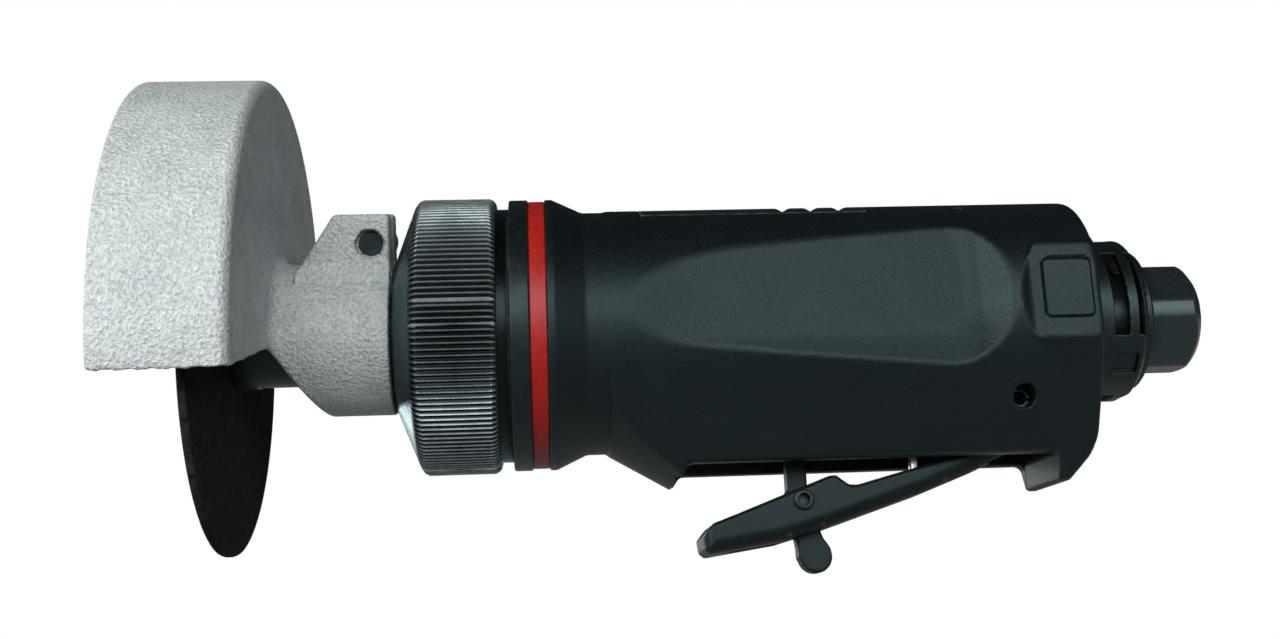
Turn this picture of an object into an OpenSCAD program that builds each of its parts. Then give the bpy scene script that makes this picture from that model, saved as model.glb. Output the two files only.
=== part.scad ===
// Pneumatic cut-off tool with a throttle lever, a safety latch and a swivelling cast guard.
// Millimetres. X runs along the spindle: +X points out of the air inlet, the wheel is at -X.
// Z is up, the lever hangs on -Z. The origin is the centre of the inlet's mouth.

/* [Air inlet] */
// Length of the inlet's hexagon
hex_len = 9.8; // [7:0.1:12]
// Width of the hexagon across its flats
hex_flats = 19; // [17:0.1:22]
// Diameter of the round bar that the hexagon is milled from
hex_bar_d = 20.2; // [19:0.1:23]
// Chamfer at the inlet's mouth, along the axis
hex_chamfer = 1.8; // [0.4:0.1:2.4]
// Diameter of the threaded hole for the hose fitting
inlet_thread_d = 11.2; // [10:0.1:12]
// Depth of the threaded hole
inlet_thread_len = 12; // [9:0.5:14]
// Diameter of the air passage behind the thread
inlet_bore_d = 8; // [6:0.2:9]
// Diameter of the shank that screws into the housing
shank_d = 17.6; // [16:0.1:18]
// Length of the shank inside the housing
shank_len = 24; // [20:0.5:27]

/* [Exhaust deflector] */
// Length of the swivelling deflector
deflector_len = 13; // [11:0.1:15]
// Diameter of its large ring
deflector_d = 30; // [27:0.2:33]
// Length of its large ring
deflector_ring_len = 9.5; // [8:0.1:10]
// Diameter of its small ring
deflector_small_d = 26; // [24:0.2:27]
// Wall of the deflector
deflector_wall = 1.5; // [1:0.1:2]
// Angle that one exhaust window covers
window_angle = 65; // [40:5:80]
// Turn of the first exhaust window, from straight down
window_start = 227; // [0:1:359]
// Count of exhaust windows
window_count = 3; // [2:1:4]

/* [Housing] */
// Wall of the housing around the motor
housing_wall = 4.2; // [3.5:0.1:6]
// Height of the front rim above the grip
rim_step = 2.3; // [1.5:0.1:3.5]
// Length of the front rim
rim_len = 1.3; // [0.8:0.1:3]
// Length of the cone behind the rim
rim_cone_len = 5.4; // [4:0.1:7]
// Length of the round neck behind the cone
neck_round_len = 3.5; // [2:0.1:6]
// Wall between the motor and the lever channel
channel_roof = 2.5; // [1.5:0.1:4]
// Depth of the lever channel below its ceiling
channel_depth = 5; // [4:0.1:7]
// Half width of the housing at that edge
wall_half_w = 12; // [11:0.1:14]
// Height of the front bumper below the lever walls
front_bumper_h = 3.2; // [1:0.1:4]
// Height of the rear bumper below the lever walls
rear_bumper_h = 4.9; // [3:0.1:7]
// Radius of the rear top corner
rear_corner_r = 4; // [1:0.1:6]
// Distance from the rear face to the rear end of the lever channel
channel_rear = 7; // [5:0.1:9]
// Room at each side of the lever in its channel
channel_side_gap = 0.8; // [0.4:0.1:1.5]
// Room in front of the lever's tip, for its swing
channel_front_gap = 4.2; // [3.8:0.1:7]
// Depth of the side dish at its rear end, below the grip's round surface
dish_depth = 3.9; // [1:0.1:4.4]
// Angle at which the dish rises towards its tip
dish_slope = 3.3; // [1:0.1:5]
// Angle at which the dish leans back towards its top
dish_tilt = 4; // [0:0.5:8]
// Radius of the dish's rear end
dish_r = 12.4; // [9:0.1:13]
// Radius of the dish's front tip
dish_tip_r = 7.5; // [3:0.1:9]

/* [Clamp nut and rings] */
// Length of the red ring
red_ring_len = 2.9; // [2:0.1:4]
// Depth of the red ring below the rim
red_ring_step = 0.3; // [0.1:0.1:1]
// Length of the black front ring
front_ring_len = 3.4; // [2.5:0.1:5]
// Length of the groove behind the knurl
groove_len = 2.2; // [1.5:0.1:4]
// Depth of the groove below the rim
groove_step = 1.6; // [0.8:0.1:2.2]
// Length of the knurled grip
knurl_len = 14.1; // [10:0.1:18]
// Height of the knurl above the rim
knurl_step = 0.35; // [0.1:0.05:1.5]
// Depth of the knurl's edge chamfers
knurl_chamfer = 0.5; // [0.3:0.1:1]
// Length of the nut's front cone
nut_cone_len = 4.1; // [3:0.1:6]
// Radius of the nose that the guard clamps on
nose_r = 10.4; // [9.5:0.1:11.5]
// Length of the nose
nose_len = 14; // [12:0.5:16]
// Wall of the nut's skirt that screws into the housing
skirt_wall = 2.5; // [1.5:0.1:3]
// Length of the skirt inside the housing
skirt_len = 3.5; // [2.5:0.1:5]

/* [Air motor] */
// Outer diameter of the cylinder and of both end plates
motor_d = 35.8; // [34:0.1:36.2]
// Length of the cylinder
cylinder_len = 40.5; // [36:0.5:43]
// Diameter of the cylinder's eccentric bore
cylinder_bore_d = 28; // [26:0.1:29]
// Offset of the bore from the spindle's axis
bore_offset = 1.3; // [0.8:0.05:1.8]
// Gap between rotor and cylinder where they are closest
rotor_gap = 0.2; // [0.1:0.05:0.4]
// Count of rotor vanes
vane_count = 5; // [4:1:6]
// Thickness of a vane
vane_t = 2; // [1.5:0.1:2.5]
// Depth of a vane
vane_h = 6.6; // [5:0.1:7]
// Thickness of the front end plate
front_plate_t = 5; // [4:0.1:6]
// Web of the rear end plate
rear_web_t = 2; // [1.5:0.1:3]

/* [Bearings and spindle] */
// Bore of the front bearing
front_bearing_bore = 8; // [7:0.1:8.4]
// Outer diameter of the front bearing
front_bearing_d = 22; // [21:0.1:24]
// Width of the front bearing
front_bearing_w = 7; // [6:0.1:8]
// Bore of the rear bearing
rear_bearing_bore = 6; // [5:0.1:6.5]
// Outer diameter of the rear bearing
rear_bearing_d = 17; // [16:0.1:19]
// Width of the rear bearing
rear_bearing_w = 6; // [5:0.1:7]

/* [Wheel and flanges] */
// Diameter of the cutting wheel
wheel_d = 76; // [60:1:80]
// Thickness of the cutting wheel
wheel_t = 1.6; // [1:0.1:3.2]
// Bore of the cutting wheel
wheel_bore_d = 9.6; // [9.6:0.1:10.4]
// Diameter of the two flanges
flange_d = 17; // [16:0.5:24]
// Thickness of the inner flange
inner_flange_t = 4.3; // [3:0.1:4.6]
// Thickness of the outer flange
outer_flange_t = 3.2; // [2:0.1:4]
// Diameter of the wheel screw's head
wheel_screw_head_d = 9; // [8:0.1:11]
// Height of the wheel screw's head
wheel_screw_head_h = 4; // [3:0.1:4.5]
// Diameter of the wheel screw's thread
wheel_screw_d = 4.8; // [4:0.1:5]

/* [Guard] */
// Turn of the guard about the spindle
guard_angle = 17; // [-60:1:60]
// Gap between the wheel's rim and the hood
hood_gap = 5.5; // [3:0.1:10]
// Depth of the hood
hood_depth = 21; // [19:0.5:26]
// Wall of the hood
hood_wall = 2.8; // [2:0.1:3.4]
// Fillet at the hood's back edge
hood_fillet = 1.8; // [0.8:0.1:3]
// Gap between the inner flange and the hood's back plate
flange_gap = 1.3; // [0.6:0.1:3]
// Length of the guard's neck
neck_len = 20; // [18:0.5:24]
// Wall of the guard's neck
neck_wall = 3.3; // [2.5:0.1:5]
// Height of the pinch lug above the neck
lug_h = 8.75; // [7:0.05:12]
// Half width of the pinch lug
lug_half_w = 7; // [5.5:0.1:7.5]
// Width of the pinch slot
pinch_slot_w = 1.6; // [1:0.1:2.4]
// Diameter of the clamp screw
clamp_screw_d = 4; // [3:0.1:4.4]
// Height of the clamp screw's head
clamp_head_h = 4; // [3:0.1:5]

/* [Throttle lever and latch] */
// Distance from the rear face to the lever's pivot
pivot_setback = 14.1; // [12:0.1:16]
// Height of the pivot above the channel's ceiling
pivot_rise = 4.2; // [3.5:0.1:5]
// Diameter of the lever's pivot pin
lever_pin_d = 3.9; // [3:0.1:4.2]
// Half width of the lever
lever_half_w = 7.4; // [6.5:0.1:7.6]
// Wall of the lever
lever_wall = 1.8; // [1.2:0.1:2.2]
// Distance from the lever's pivot to the latch's pin, along the tool
latch_reach = 38; // [35:0.1:41]
// Distance from the latch's pin to the lever's tip, along the tool
lever_front = 17.9; // [15:0.1:22]
// Diameter of the latch's pin
latch_pin_d = 2.8; // [2.2:0.1:3.2]
// Thickness of the latch
latch_t = 3.8; // [3:0.1:4.2]
// Length of the latch's arm above its pin
latch_arm = 9.4; // [8:0.1:9.5]

/* [Throttle valve] */
// Wall between the motor and the valve's bore
valve_wall = 4.4; // [3:0.1:6]
// Wall between the valve's bore and the inlet's shank
shank_wall = 1.6; // [1:0.1:3]
// Diameter of the valve's bore in the housing
valve_bore_d = 9; // [8:0.1:9.6]
// Height of the valve's seat, below the axis
seat_drop = 9; // [8.5:0.1:9.5]
// Diameter of the valve's stem
stem_d = 2.3; // [2:0.1:2.6]
// Diameter of the valve's ball
ball_d = 6; // [5.4:0.1:6.4]
// Gap between the stem's tip and the lever's floor
stem_gap = 0.2; // [0.1:0.05:0.3]

/* [Clearances] */
// Radial clearance of turning fits
run_fit = 0.05; // [0.02:0.01:0.09]
// Gap between faces that turn past each other
side_gap = 0.1; // [0.05:0.05:0.2]
// Gap between the guard's neck and the clamp nut
neck_gap = 0.5; // [0.3:0.1:1]
// Radial gap of the motor in its housing
motor_gap = 0.1; // [0.05:0.05:0.2]
// Gap between moving pieces of the lever and its channel
lever_gap = 0.4; // [0.3:0.05:0.6]

/* [Hidden] */
$fn = 96;

// Radii, from the motor outwards
motor_r = motor_d / 2;
cavity_r = motor_r + motor_gap;
grip_r = cavity_r + housing_wall;
rim_r = grip_r + rim_step;
skirt_r = cavity_r + skirt_wall;
red_ring_r = rim_r - red_ring_step;
groove_r = rim_r - groove_step;
knurl_r = rim_r + knurl_step;
neck_bore_r = nose_r + run_fit;
neck_r = neck_bore_r + neck_wall;
nut_cone_r = neck_r + 0.25;
hood_r = wheel_d / 2 + hood_gap + hood_wall;
rotor_d = cylinder_bore_d - 2 * (bore_offset + rotor_gap);

// Heights below the spindle's axis
channel_ceiling = cavity_r + channel_roof;
wall_drop = channel_ceiling + channel_depth;
front_bumper_drop = wall_drop + front_bumper_h;
rear_bumper_drop = wall_drop + rear_bumper_h;
pivot_drop = channel_ceiling - pivot_rise;

// Stations along the tool, from the inlet's mouth to the front of the guard
rear_plate_t = rear_web_t + rear_bearing_w;
motor_len = front_plate_t + cylinder_len + rear_plate_t;
housing_len = skirt_len + motor_len + valve_wall + valve_bore_d + shank_wall + shank_len;
x_hex = -hex_len;
x_rear = x_hex - deflector_len - 2 * side_gap;
x_front = x_rear - housing_len;
x_red = x_front - red_ring_len;
x_black = x_red - front_ring_len;
x_knurl = x_black - groove_len;
x_nut_cone = x_knurl - knurl_len;
x_nut_end = x_nut_cone - nut_cone_len;
x_nose = x_nut_end - nose_len;
x_neck = x_nut_end - neck_gap;
x_hood = x_neck - neck_len;
x_hood_front = x_hood - hood_depth;
x_hood_floor = x_hood - hood_wall;
x_wheel = x_hood_floor - flange_gap - inner_flange_t;
x_wheel_front = x_wheel - wheel_t;
x_flange_back = x_wheel + inner_flange_t;
x_flange_front = x_wheel_front - outer_flange_t;

// Stations of the motor
x_skirt = x_front + skirt_len;
x_plate = x_skirt + front_plate_t;
x_cylinder = x_plate + cylinder_len;
x_rear_bearing = x_cylinder + rear_web_t;
x_motor_end = x_cylinder + rear_plate_t;
x_front_bearing = x_skirt - front_bearing_w;
front_cup_r = front_bearing_d / 2 + 2.6;
bearing_shoulder = 1.6;
ball_count = 7;
ball_share = 0.3;
race_share = 0.32;
locating_r = 1.2;
locating_inset = 1.8;
locating_len = 4.5;
outlet_count = 5;
outlet_d = 2.4;
outlet_first = cylinder_len * 0.3;
outlet_pitch = cylinder_len * 0.1;

// The housing's outline: straight sides run from the grip's circle down to the lever walls
grip_slope = atan2(wall_drop, wall_half_w) - acos(grip_r / norm([wall_half_w, wall_drop]));
grip_tangent = [grip_r * cos(grip_slope), -grip_r * sin(grip_slope)];
section_drop = rear_bumper_drop + 2;
section_half_w = wall_half_w - (section_drop - wall_drop) * tan(grip_slope);
x_rim_cone = x_front + rim_len;
x_neck_round = x_rim_cone + rim_cone_len;
x_grip = x_neck_round + neck_round_len;
x_channel_rear = x_rear - channel_rear;
x_channel_front = x_rear - pivot_setback - latch_reach - lever_front - channel_front_gap;
channel_half_w = lever_half_w + channel_side_gap;
bumper_slant = 2.2;
rear_bumper_len = 2;
rear_low_h = 2.7;
rear_low_len = 1.6;
flare_angle = 30;
flare_r = 2 * grip_r;
x_flare = x_grip + (flare_r - grip_r) / tan(flare_angle);
rear_round_r = 4;

// The side dish and the raised boss with its recessed field
dish_x = x_rear - 28.2;
dish_tip_x = x_rear - 74;
dish_z = 1.4;
dish_y = grip_r - dish_depth;
boss_y = 21.3;
boss_x = x_rear - 13;
boss_low = -7.4;
boss_high = 10.3;
boss_field = [8.4, 10.2];
boss_field_x = x_rear - 6.2;
boss_field_z = 1.7;
boss_field_depth = 0.5;

// The plain plate on top of the grip, with notches across its rear part
plate_len = 41;
x_plate_top = x_grip + 6.8;
plate_half_w = 12;
plate_t = 1.2;
notch_pitch = 5.2;
notch_first = x_plate_top + 26.5;
notch_depth = 0.75;
notch_half_w = 1.35;

// The lock screw that holds the inlet bushing
lock_x = x_rear - shank_len + 2.5;
lock_tilt = 30;
lock_d = 3;
lock_seat_r = shank_d / 2 - 0.5;
lock_sink = 1.4;
lock_len = grip_r - lock_seat_r - lock_sink;
lock_socket_h = 1.2;
lock_socket_r = 0.8;

// Air passages
shank_r = shank_d / 2;
x_shank = x_rear - shank_len;
feed_d = 7;
port_d = 3.2;
port_drop = 12.5;
exhaust_d = 3.6;
exhaust_r = 11.8;
exhaust_slot_w = 10;
exhaust_slot_r = 19.8;
exhaust_chamber_len = 2.5;
exhaust_chamber = [18, 9.5];
exhaust_chamber_low = 7.5;
seal_x = x_rear - 4;
seal_d = 1.8;
dome_len = 1.2;
dome_round = 1.1;
dome_edge = 0.6;
step_len = 1.3;
step_round = 1;
deflector_web = 1.2;
// Each slot of an exhaust window: its start in front of the step, and its width
window_slots = [[5.4, 2.6], [0.95, 1.1]];
screen_t = 1;
screen_hole = 0.9;
screen_pitch = 1.5;

// Throttle valve
x_valve = x_shank - shank_wall - valve_bore_d / 2;
valve_top = 7;
ball_lift = 0.1;
seat_hole_d = 4.4;
ball_z = -seat_drop + sqrt(pow(ball_d / 2, 2) - pow(seat_hole_d / 2, 2)) + ball_lift;
valve_chamber_d = 6;
guide_top = -15;
seat_t = 1;
spring_wire = 0.7;
spring_turns = 6;
spring_steps = 8;
spring_gap = 0.2;

// The lever's side view, from the pivot, and its latch
pivot = [x_rear - pivot_setback, -pivot_drop];
ear_r = 3.6;
ear_room = 4.4;
latch_pin_drop = 15.8;
latch_pin_at = pivot - [latch_reach, latch_pin_drop];
// Underside of the lever, from its tip to its ears, measured from the pivot
lever_under = [[-latch_reach - lever_front + 1.3, -24.6], [-latch_reach - 4, -22.8],
    [-33.4, -20.5], [-16.1, -15], [-7.4, -11.8]];
// The ears' outline, up to the pivot and down again
lever_ear = [[-1, -9], [ear_r, -1], [ear_r, 0], [-ear_r, 0], [-ear_r - 1.6, -5], [-8, -8.2]];
// Top edge of the lever's walls, with the step beside the latch, measured from the latch's pin
lever_top = [[9.8, 2.4], [8.3, 2.5], [7.1, 3.4], [6.1, 4.2], [4.8, 4.1], [-12, -2.1]];
// The lever's rounded tip, measured from its foremost place
lever_tip = [[1.9, -19.3], [0, -21.6], [0.3, -23.8]];
stem_low = pivot[1] + lookup(x_valve - pivot[0], lever_under) + lever_wall + stem_gap;
lever_pin_wall = 0.8;
lever_pin_sink = 3.2;
latch_hub_r = 2.6;
latch_arm_w = 3.6;
latch_bulge = [latch_pin_at[0] + 2.6, latch_pin_at[1] - 9.5];
latch_bulge_r = 2.9;
latch_slot = [latch_pin_at[0] - 12.8, latch_pin_at[0] + 11];
latch_slot_half_w = latch_t / 2 + lever_gap;
latch_head_r = 1.8;
latch_head_h = 0.7;
latch_spring_wire = 0.7;
latch_spring_turns = 2;
latch_spring_gap = 0.25;

// Guard
lug_top = neck_r + lug_h;
clamp_x = x_neck - 3.4;
clamp_z = neck_r + 3.55;
clamp_head_r = 3.3;
clamp_sink = 1.4;
clamp_socket_h = 2.4;
clamp_socket_r = 1.8;
lug_front_top = x_neck - 9.6;
lug_front_low = x_neck - 16.4;
lug_low = 8;
neck_cut_x = x_neck - 11.4;

// Shafts
front_shaft_r = front_bearing_bore / 2;
rear_shaft_r = rear_bearing_bore / 2;
x_shaft_front = x_wheel + 0.6;
x_shaft_rear = x_motor_end - 0.5;
nut_bore_r = front_shaft_r + 2;
nut_cavity_r = motor_r - 0.9;
x_nut_cavity = x_nut_cone + 3;
wheel_screw_len = 10;
wheel_socket_d = 5.6;
wheel_socket_floor = 1.4;

// A flat shape in Y and Z, drawn out along X
module along_x(x0, x1) {
    translate([x0, 0, 0]) rotate([90, 0, 90]) linear_extrude(x1 - x0) children();
}

// A flat shape in X and Z, drawn out to both sides of the middle plane
module across_y(half) {
    rotate([90, 0, 0]) linear_extrude(2 * half, center = true) children();
}

// A flat shape in X and Z, drawn out along Y between two places
module between_y(y0, y1) {
    translate([0, y1, 0]) rotate([90, 0, 0]) linear_extrude(y1 - y0) children();
}

// A flat shape in X and Y, drawn out along Z
module between_z(z0, z1) {
    translate([0, 0, z0]) linear_extrude(z1 - z0) children();
}

// A round bar along X
module bar_x(x0, x1, r) {
    translate([x0, 0, 0]) rotate([0, 90, 0]) cylinder(h = x1 - x0, r = r);
}

// A round bar along Y through the point [x, z]
module bar_y(at, y0, y1, r) {
    translate([at[0], y1, at[1]]) rotate([90, 0, 0]) cylinder(h = y1 - y0, r = r);
}

// A ring around the spindle's axis
module ring_x(x0, x1, r_out, r_in) {
    difference() {
        bar_x(x0, x1, r_out);
        bar_x(x0 - 1, x1 + 1, r_in);
    }
}

// A turned solid: its outline is a list of [x, radius]
module turned(outline) {
    rotate([0, 90, 0]) rotate_extrude() polygon([for (p = outline) [p[1], p[0]]]);
}

// A round wire bent to a ring around the axis
module wire_ring(x, ring_r, wire_d) {
    rotate([0, 90, 0]) translate([0, 0, x]) rotate_extrude() translate([ring_r, 0]) circle(d = wire_d);
}

// A wire swept along the points of a helix around Z
function helix_point(i, turns, radius, height, steps) =
    [radius * cos(360 * i / steps), radius * sin(360 * i / steps), height * i / (turns * steps)];
module helix(turns, radius, height, wire, steps) {
    sides = 6;
    count = turns * steps;
    rise = height / (turns * 2 * PI * radius);
    tilt = atan(rise);
    rings = [for (i = [0 : count]) let (a = 360 * i / steps, c = helix_point(i, turns, radius, height, steps))
        [for (k = [0 : sides - 1]) let (b = 360 * k / sides, u = wire / 2 * cos(b), v = wire / 2 * sin(b))
            c + [u * cos(a) + v * sin(tilt) * sin(a), u * sin(a) - v * sin(tilt) * cos(a), v * cos(tilt)]]];
    points = [for (ring = rings) for (p = ring) p];
    walls = [for (i = [0 : count - 1]) for (k = [0 : sides - 1]) let (n = (k + 1) % sides)
        for (t = [[i * sides + k, (i + 1) * sides + k, (i + 1) * sides + n],
                  [i * sides + k, (i + 1) * sides + n, i * sides + n]]) t];
    low = [for (k = [1 : sides - 2]) [0, k, k + 1]];
    high = [for (k = [1 : sides - 2]) [count * sides, count * sides + k + 1, count * sides + k]];
    polyhedron(points, concat(walls, low, high));
}

// Cross section of the grip: a round top with straight sides below
module grip_section() {
    circle(r = grip_r);
    polygon([[-grip_tangent[0], grip_tangent[1]], [grip_tangent[0], grip_tangent[1]],
        [section_half_w, -section_drop], [-section_half_w, -section_drop]]);
}

// Side view of the grip, with both bumpers under it and round rear corners
module grip_side() {
    difference() {
        polygon([[x_grip, grip_r], [x_rear, grip_r], [x_rear, -wall_drop + rear_low_h],
            [x_rear - rear_low_len, -wall_drop - 0.9],
            [x_channel_rear + rear_bumper_len, -rear_bumper_drop],
            [x_channel_rear, -rear_bumper_drop], [x_channel_rear, -wall_drop],
            [x_channel_front + bumper_slant, -wall_drop],
            [x_channel_front, -front_bumper_drop], [x_grip, -front_bumper_drop]]);
        difference() {
            translate([x_rear - rear_corner_r, grip_r - rear_corner_r]) square(rear_corner_r + 1);
            translate([x_rear - rear_corner_r, grip_r - rear_corner_r]) circle(r = rear_corner_r);
        }
    }
}

// Plan view of the grip, with round rear corners
module grip_plan() {
    translate([x_grip, -grip_r]) square([x_rear - rear_round_r - x_grip, 2 * grip_r]);
    translate([x_grip, -grip_r + rear_round_r]) square([x_rear - x_grip, 2 * (grip_r - rear_round_r)]);
    for (side = [-1, 1])
        translate([x_rear - rear_round_r, side * (grip_r - rear_round_r)]) circle(r = rear_round_r);
}

// Outline of the side dish: a round rear end that narrows to a tip
module dish_outline() {
    lean = asin((dish_r - dish_tip_r) / (dish_x - dish_tip_x));
    translate([dish_x, dish_z]) circle(r = dish_r);
    translate([dish_tip_x, dish_z]) circle(r = dish_tip_r);
    ends = [[dish_x, dish_r, 1], [dish_tip_x, dish_tip_r, 1],
        [dish_tip_x, dish_tip_r, -1], [dish_x, dish_r, -1]];
    polygon([for (p = ends) [p[0] - p[1] * sin(lean), dish_z + p[2] * p[1] * cos(lean)]]);
}

// The cut of the dish on the -Y side: its flat floor rises to the grip's surface at the tip
module side_dish() {
    reach = dish_x - dish_tip_x + dish_r + dish_tip_r;
    intersection() {
        between_y(-grip_r - 2, 0) dish_outline();
        translate([dish_x, -dish_y, 0]) rotate([-dish_tilt, 0, dish_slope])
            translate([-reach, -grip_r, -grip_r]) cube([2 * reach, grip_r, 2 * grip_r]);
    }
}

// The block of a side boss, between two distances from the middle plane, on the -Y side
module boss_box(y_in, y_out) {
    translate([boss_x, -y_out, boss_low]) cube([x_rear - boss_x, y_out - y_in, boss_high - boss_low]);
}

// The space that the grip flares out in, from the round neck to the lever walls
module flare_room() {
    turned([[x_grip, 0], [x_grip, grip_r + 0.02], [x_flare, flare_r], [x_rear + 1, flare_r], [x_rear + 1, 0]]);
}

// The solid that the housing is moulded as, before its bores
module housing_block() {
    turned([[x_front, 0], [x_front, rim_r], [x_rim_cone, rim_r], [x_neck_round, grip_r], [x_grip, grip_r],
        [x_grip, 0]]);
    intersection() {
        along_x(x_grip, x_rear) grip_section();
        across_y(grip_r + 1) grip_side();
        flare_room();
        between_z(-section_drop - 1, grip_r + 1) grip_plan();
    }
    for (side = [0, 1]) mirror([0, side, 0]) intersection() {
        boss_box(0, boss_y);
        between_z(-section_drop - 1, grip_r + 1) grip_plan();
    }
}

// The channel that the lever swings into, with its deeper part around the pivot
module lever_channel() {
    deep_x = pivot[0] - ear_r - ear_room;
    deep_ceiling = pivot_drop - ear_r - lever_gap;
    translate([x_channel_front, -channel_half_w, -section_drop - 1])
        cube([x_channel_rear - x_channel_front, 2 * channel_half_w, section_drop + 1 - channel_ceiling]);
    translate([deep_x, -channel_half_w, -section_drop - 1])
        cube([x_channel_rear - deep_x, 2 * channel_half_w, section_drop + 1 - deep_ceiling]);
}

// Passages that carry the air in and the exhaust out
module air_passages() {
    bar_x(x_shank, x_rear + 1, shank_r);
    bar_x(x_valve, x_shank + 1, feed_d / 2);
    translate([x_valve, 0, -section_drop]) cylinder(h = section_drop + valve_top, d = valve_bore_d);
    translate([0, 0, -port_drop]) bar_x(x_motor_end - 1, x_valve, port_d / 2);
    for (angle = [60, 120]) translate([0, exhaust_r * cos(angle), exhaust_r * sin(angle)])
        bar_x(x_motor_end, x_rear + 1, exhaust_d / 2);
    translate([x_motor_end - 1, -exhaust_chamber[0] / 2, exhaust_chamber_low])
        cube([exhaust_chamber_len + 1, exhaust_chamber[0], exhaust_chamber[1]]);
    translate([x_plate, -exhaust_slot_w / 2, motor_r - 4])
        cube([x_motor_end + exhaust_chamber_len - x_plate, exhaust_slot_w, exhaust_slot_r - motor_r + 4]);
}

module housing() {
    color("#2b2d2f") difference() {
        housing_block();
        bar_x(x_front - 1, x_skirt, skirt_r + run_fit);
        bar_x(x_front, x_motor_end, cavity_r);
        air_passages();
        lever_channel();
        bar_y(pivot, -grip_r, grip_r, lever_pin_d / 2);
        for (side = [0, 1]) mirror([0, side, 0]) {
            side_dish();
            boss_box(boss_y, grip_r + 2);
            translate([boss_field_x - boss_field[0] / 2, -grip_r - 2, boss_field_z - boss_field[1] / 2])
                cube([boss_field[0], grip_r + 2 - boss_y + boss_field_depth, boss_field[1]]);
        }
        translate([x_plate_top, -plate_half_w, grip_r - 8]) intersection() {
            cube([plate_len, 2 * plate_half_w, 8]);
            translate([0, plate_half_w, 8 - grip_r]) difference() {
                bar_x(-1, plate_len + 1, grip_r + 1);
                bar_x(-2, plate_len + 2, grip_r - plate_t);
            }
        }
        top_notches();
        translate([lock_x, 0, 0]) rotate([lock_tilt, 0, 0]) cylinder(h = grip_r + 1, d = lock_d);
    }
}

// The notches across the top, for a firm hold
module top_notches() {
    intersection() {
        for (i = [0 : 2]) translate([notch_first + i * notch_pitch, 0, 0])
            turned([[0, grip_r - notch_depth], [2 * notch_half_w, grip_r + notch_depth],
                [-2 * notch_half_w, grip_r + notch_depth]]);
        translate([notch_first - notch_pitch, -plate_half_w + 0.6, 0])
            cube([4 * notch_pitch, 2 * plate_half_w - 1.2, 2 * grip_r]);
    }
}

module top_plate() {
    color("#3a3c3e") difference() {
        intersection() {
            ring_x(x_plate_top, x_plate_top + plate_len, grip_r, grip_r - plate_t);
            translate([x_plate_top, -plate_half_w, 0]) cube([plate_len, 2 * plate_half_w, grip_r + 1]);
        }
        top_notches();
    }
}

module lock_screw() {
    color("#505254") translate([lock_x, 0, 0]) rotate([lock_tilt, 0, 0]) difference() {
        translate([0, 0, lock_seat_r]) cylinder(h = lock_len, d = lock_d);
        translate([0, 0, lock_seat_r + lock_len - lock_socket_h]) cylinder(h = 2, r = lock_socket_r, $fn = 6);
    }
}

module inlet_bushing() {
    hex_corner_r = hex_bar_d / 2;
    color("#3c3f42") difference() {
        union() {
            intersection() {
                turned([[x_hex, 0], [x_hex, hex_corner_r], [-hex_chamfer, hex_corner_r],
                    [0, hex_corner_r - hex_chamfer * 1.1], [0, 0]]);
                along_x(x_hex, 0) circle(d = hex_flats / cos(30), $fn = 6);
            }
            bar_x(x_shank, x_hex + 0.5, shank_r);
        }
        bar_x(-inlet_thread_len, 1, inlet_thread_d / 2);
        bar_x(x_shank - 1, -inlet_thread_len + 0.5, inlet_bore_d / 2);
        wire_ring(seal_x, shank_r, seal_d);
        translate([lock_x, 0, 0]) rotate([lock_tilt, 0, 0]) translate([0, 0, lock_seat_r])
            cylinder(h = shank_r, d = lock_d);
    }
}

module inlet_seal() {
    color("#151515") intersection() {
        wire_ring(seal_x, shank_r, seal_d);
        bar_x(seal_x - seal_d, seal_x + seal_d, shank_r);
    }
}

module inlet_screen() {
    color("#b9b59f") difference() {
        bar_x(-inlet_thread_len - screen_t, -inlet_thread_len, inlet_bore_d / 2);
        for (i = [-1 : 1]) for (k = [-1 : 1])
            translate([-inlet_thread_len - screen_t / 2, i * screen_pitch, k * screen_pitch])
                cube([screen_t + 1, screen_hole, screen_hole], center = true);
    }
}

// Outline of the deflector: a large ring, a rounded step and a small ring with a domed end
module exhaust_deflector() {
    big_r = deflector_d / 2;
    small_r = deflector_small_d / 2;
    x0 = x_rear + side_gap;
    x1 = x_hex - side_gap;
    x_step = x0 + deflector_ring_len;
    x_dome = x1 - dome_len;
    x_web = x1 - deflector_web;
    bore_r = shank_r + run_fit;
    hollow_r = big_r - deflector_wall;
    color("#232527") difference() {
        turned([[x0, hollow_r], [x0, big_r], [x_step, big_r], [x_step + step_len - 0.5, big_r - step_round],
            [x_step + step_len, small_r], [x_dome, small_r], [x1 - dome_edge, small_r - dome_round],
            [x1, hex_bar_d / 2], [x1, bore_r], [x_web, bore_r], [x_web, shank_r + 1],
            [x_step + step_len, small_r - deflector_wall], [x_step, hollow_r]]);
        for (i = [0 : window_count - 1]) rotate([i * 360 / window_count + window_start, 0, 0])
            for (slot = window_slots) rotate([0, 90, 0])
                rotate_extrude(angle = window_angle)
                    translate([small_r - deflector_wall - 0.9, x_step - slot[0]])
                        square([big_r, slot[1]]);
    }
}

module clamp_nut() {
    edge_r = knurl_r - knurl_chamfer;
    color("#26282a") difference() {
        turned([[x_nose, 0], [x_nose, nose_r], [x_nut_end, nose_r], [x_nut_end, nut_cone_r],
            [x_nut_cone, edge_r], [x_nut_cone + knurl_chamfer, knurl_r], [x_knurl - knurl_chamfer, knurl_r],
            [x_knurl, edge_r], [x_knurl, groove_r], [x_black, groove_r], [x_black, skirt_r],
            [x_skirt, skirt_r], [x_skirt, 0]]);
        bar_x(x_nose - 1, x_skirt + 1, nut_bore_r);
        bar_x(x_nut_cavity, x_skirt + 1, nut_cavity_r);
    }
}

module front_ring() {
    color("#1e2021") ring_x(x_black, x_red, rim_r, skirt_r + run_fit);
}

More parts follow.
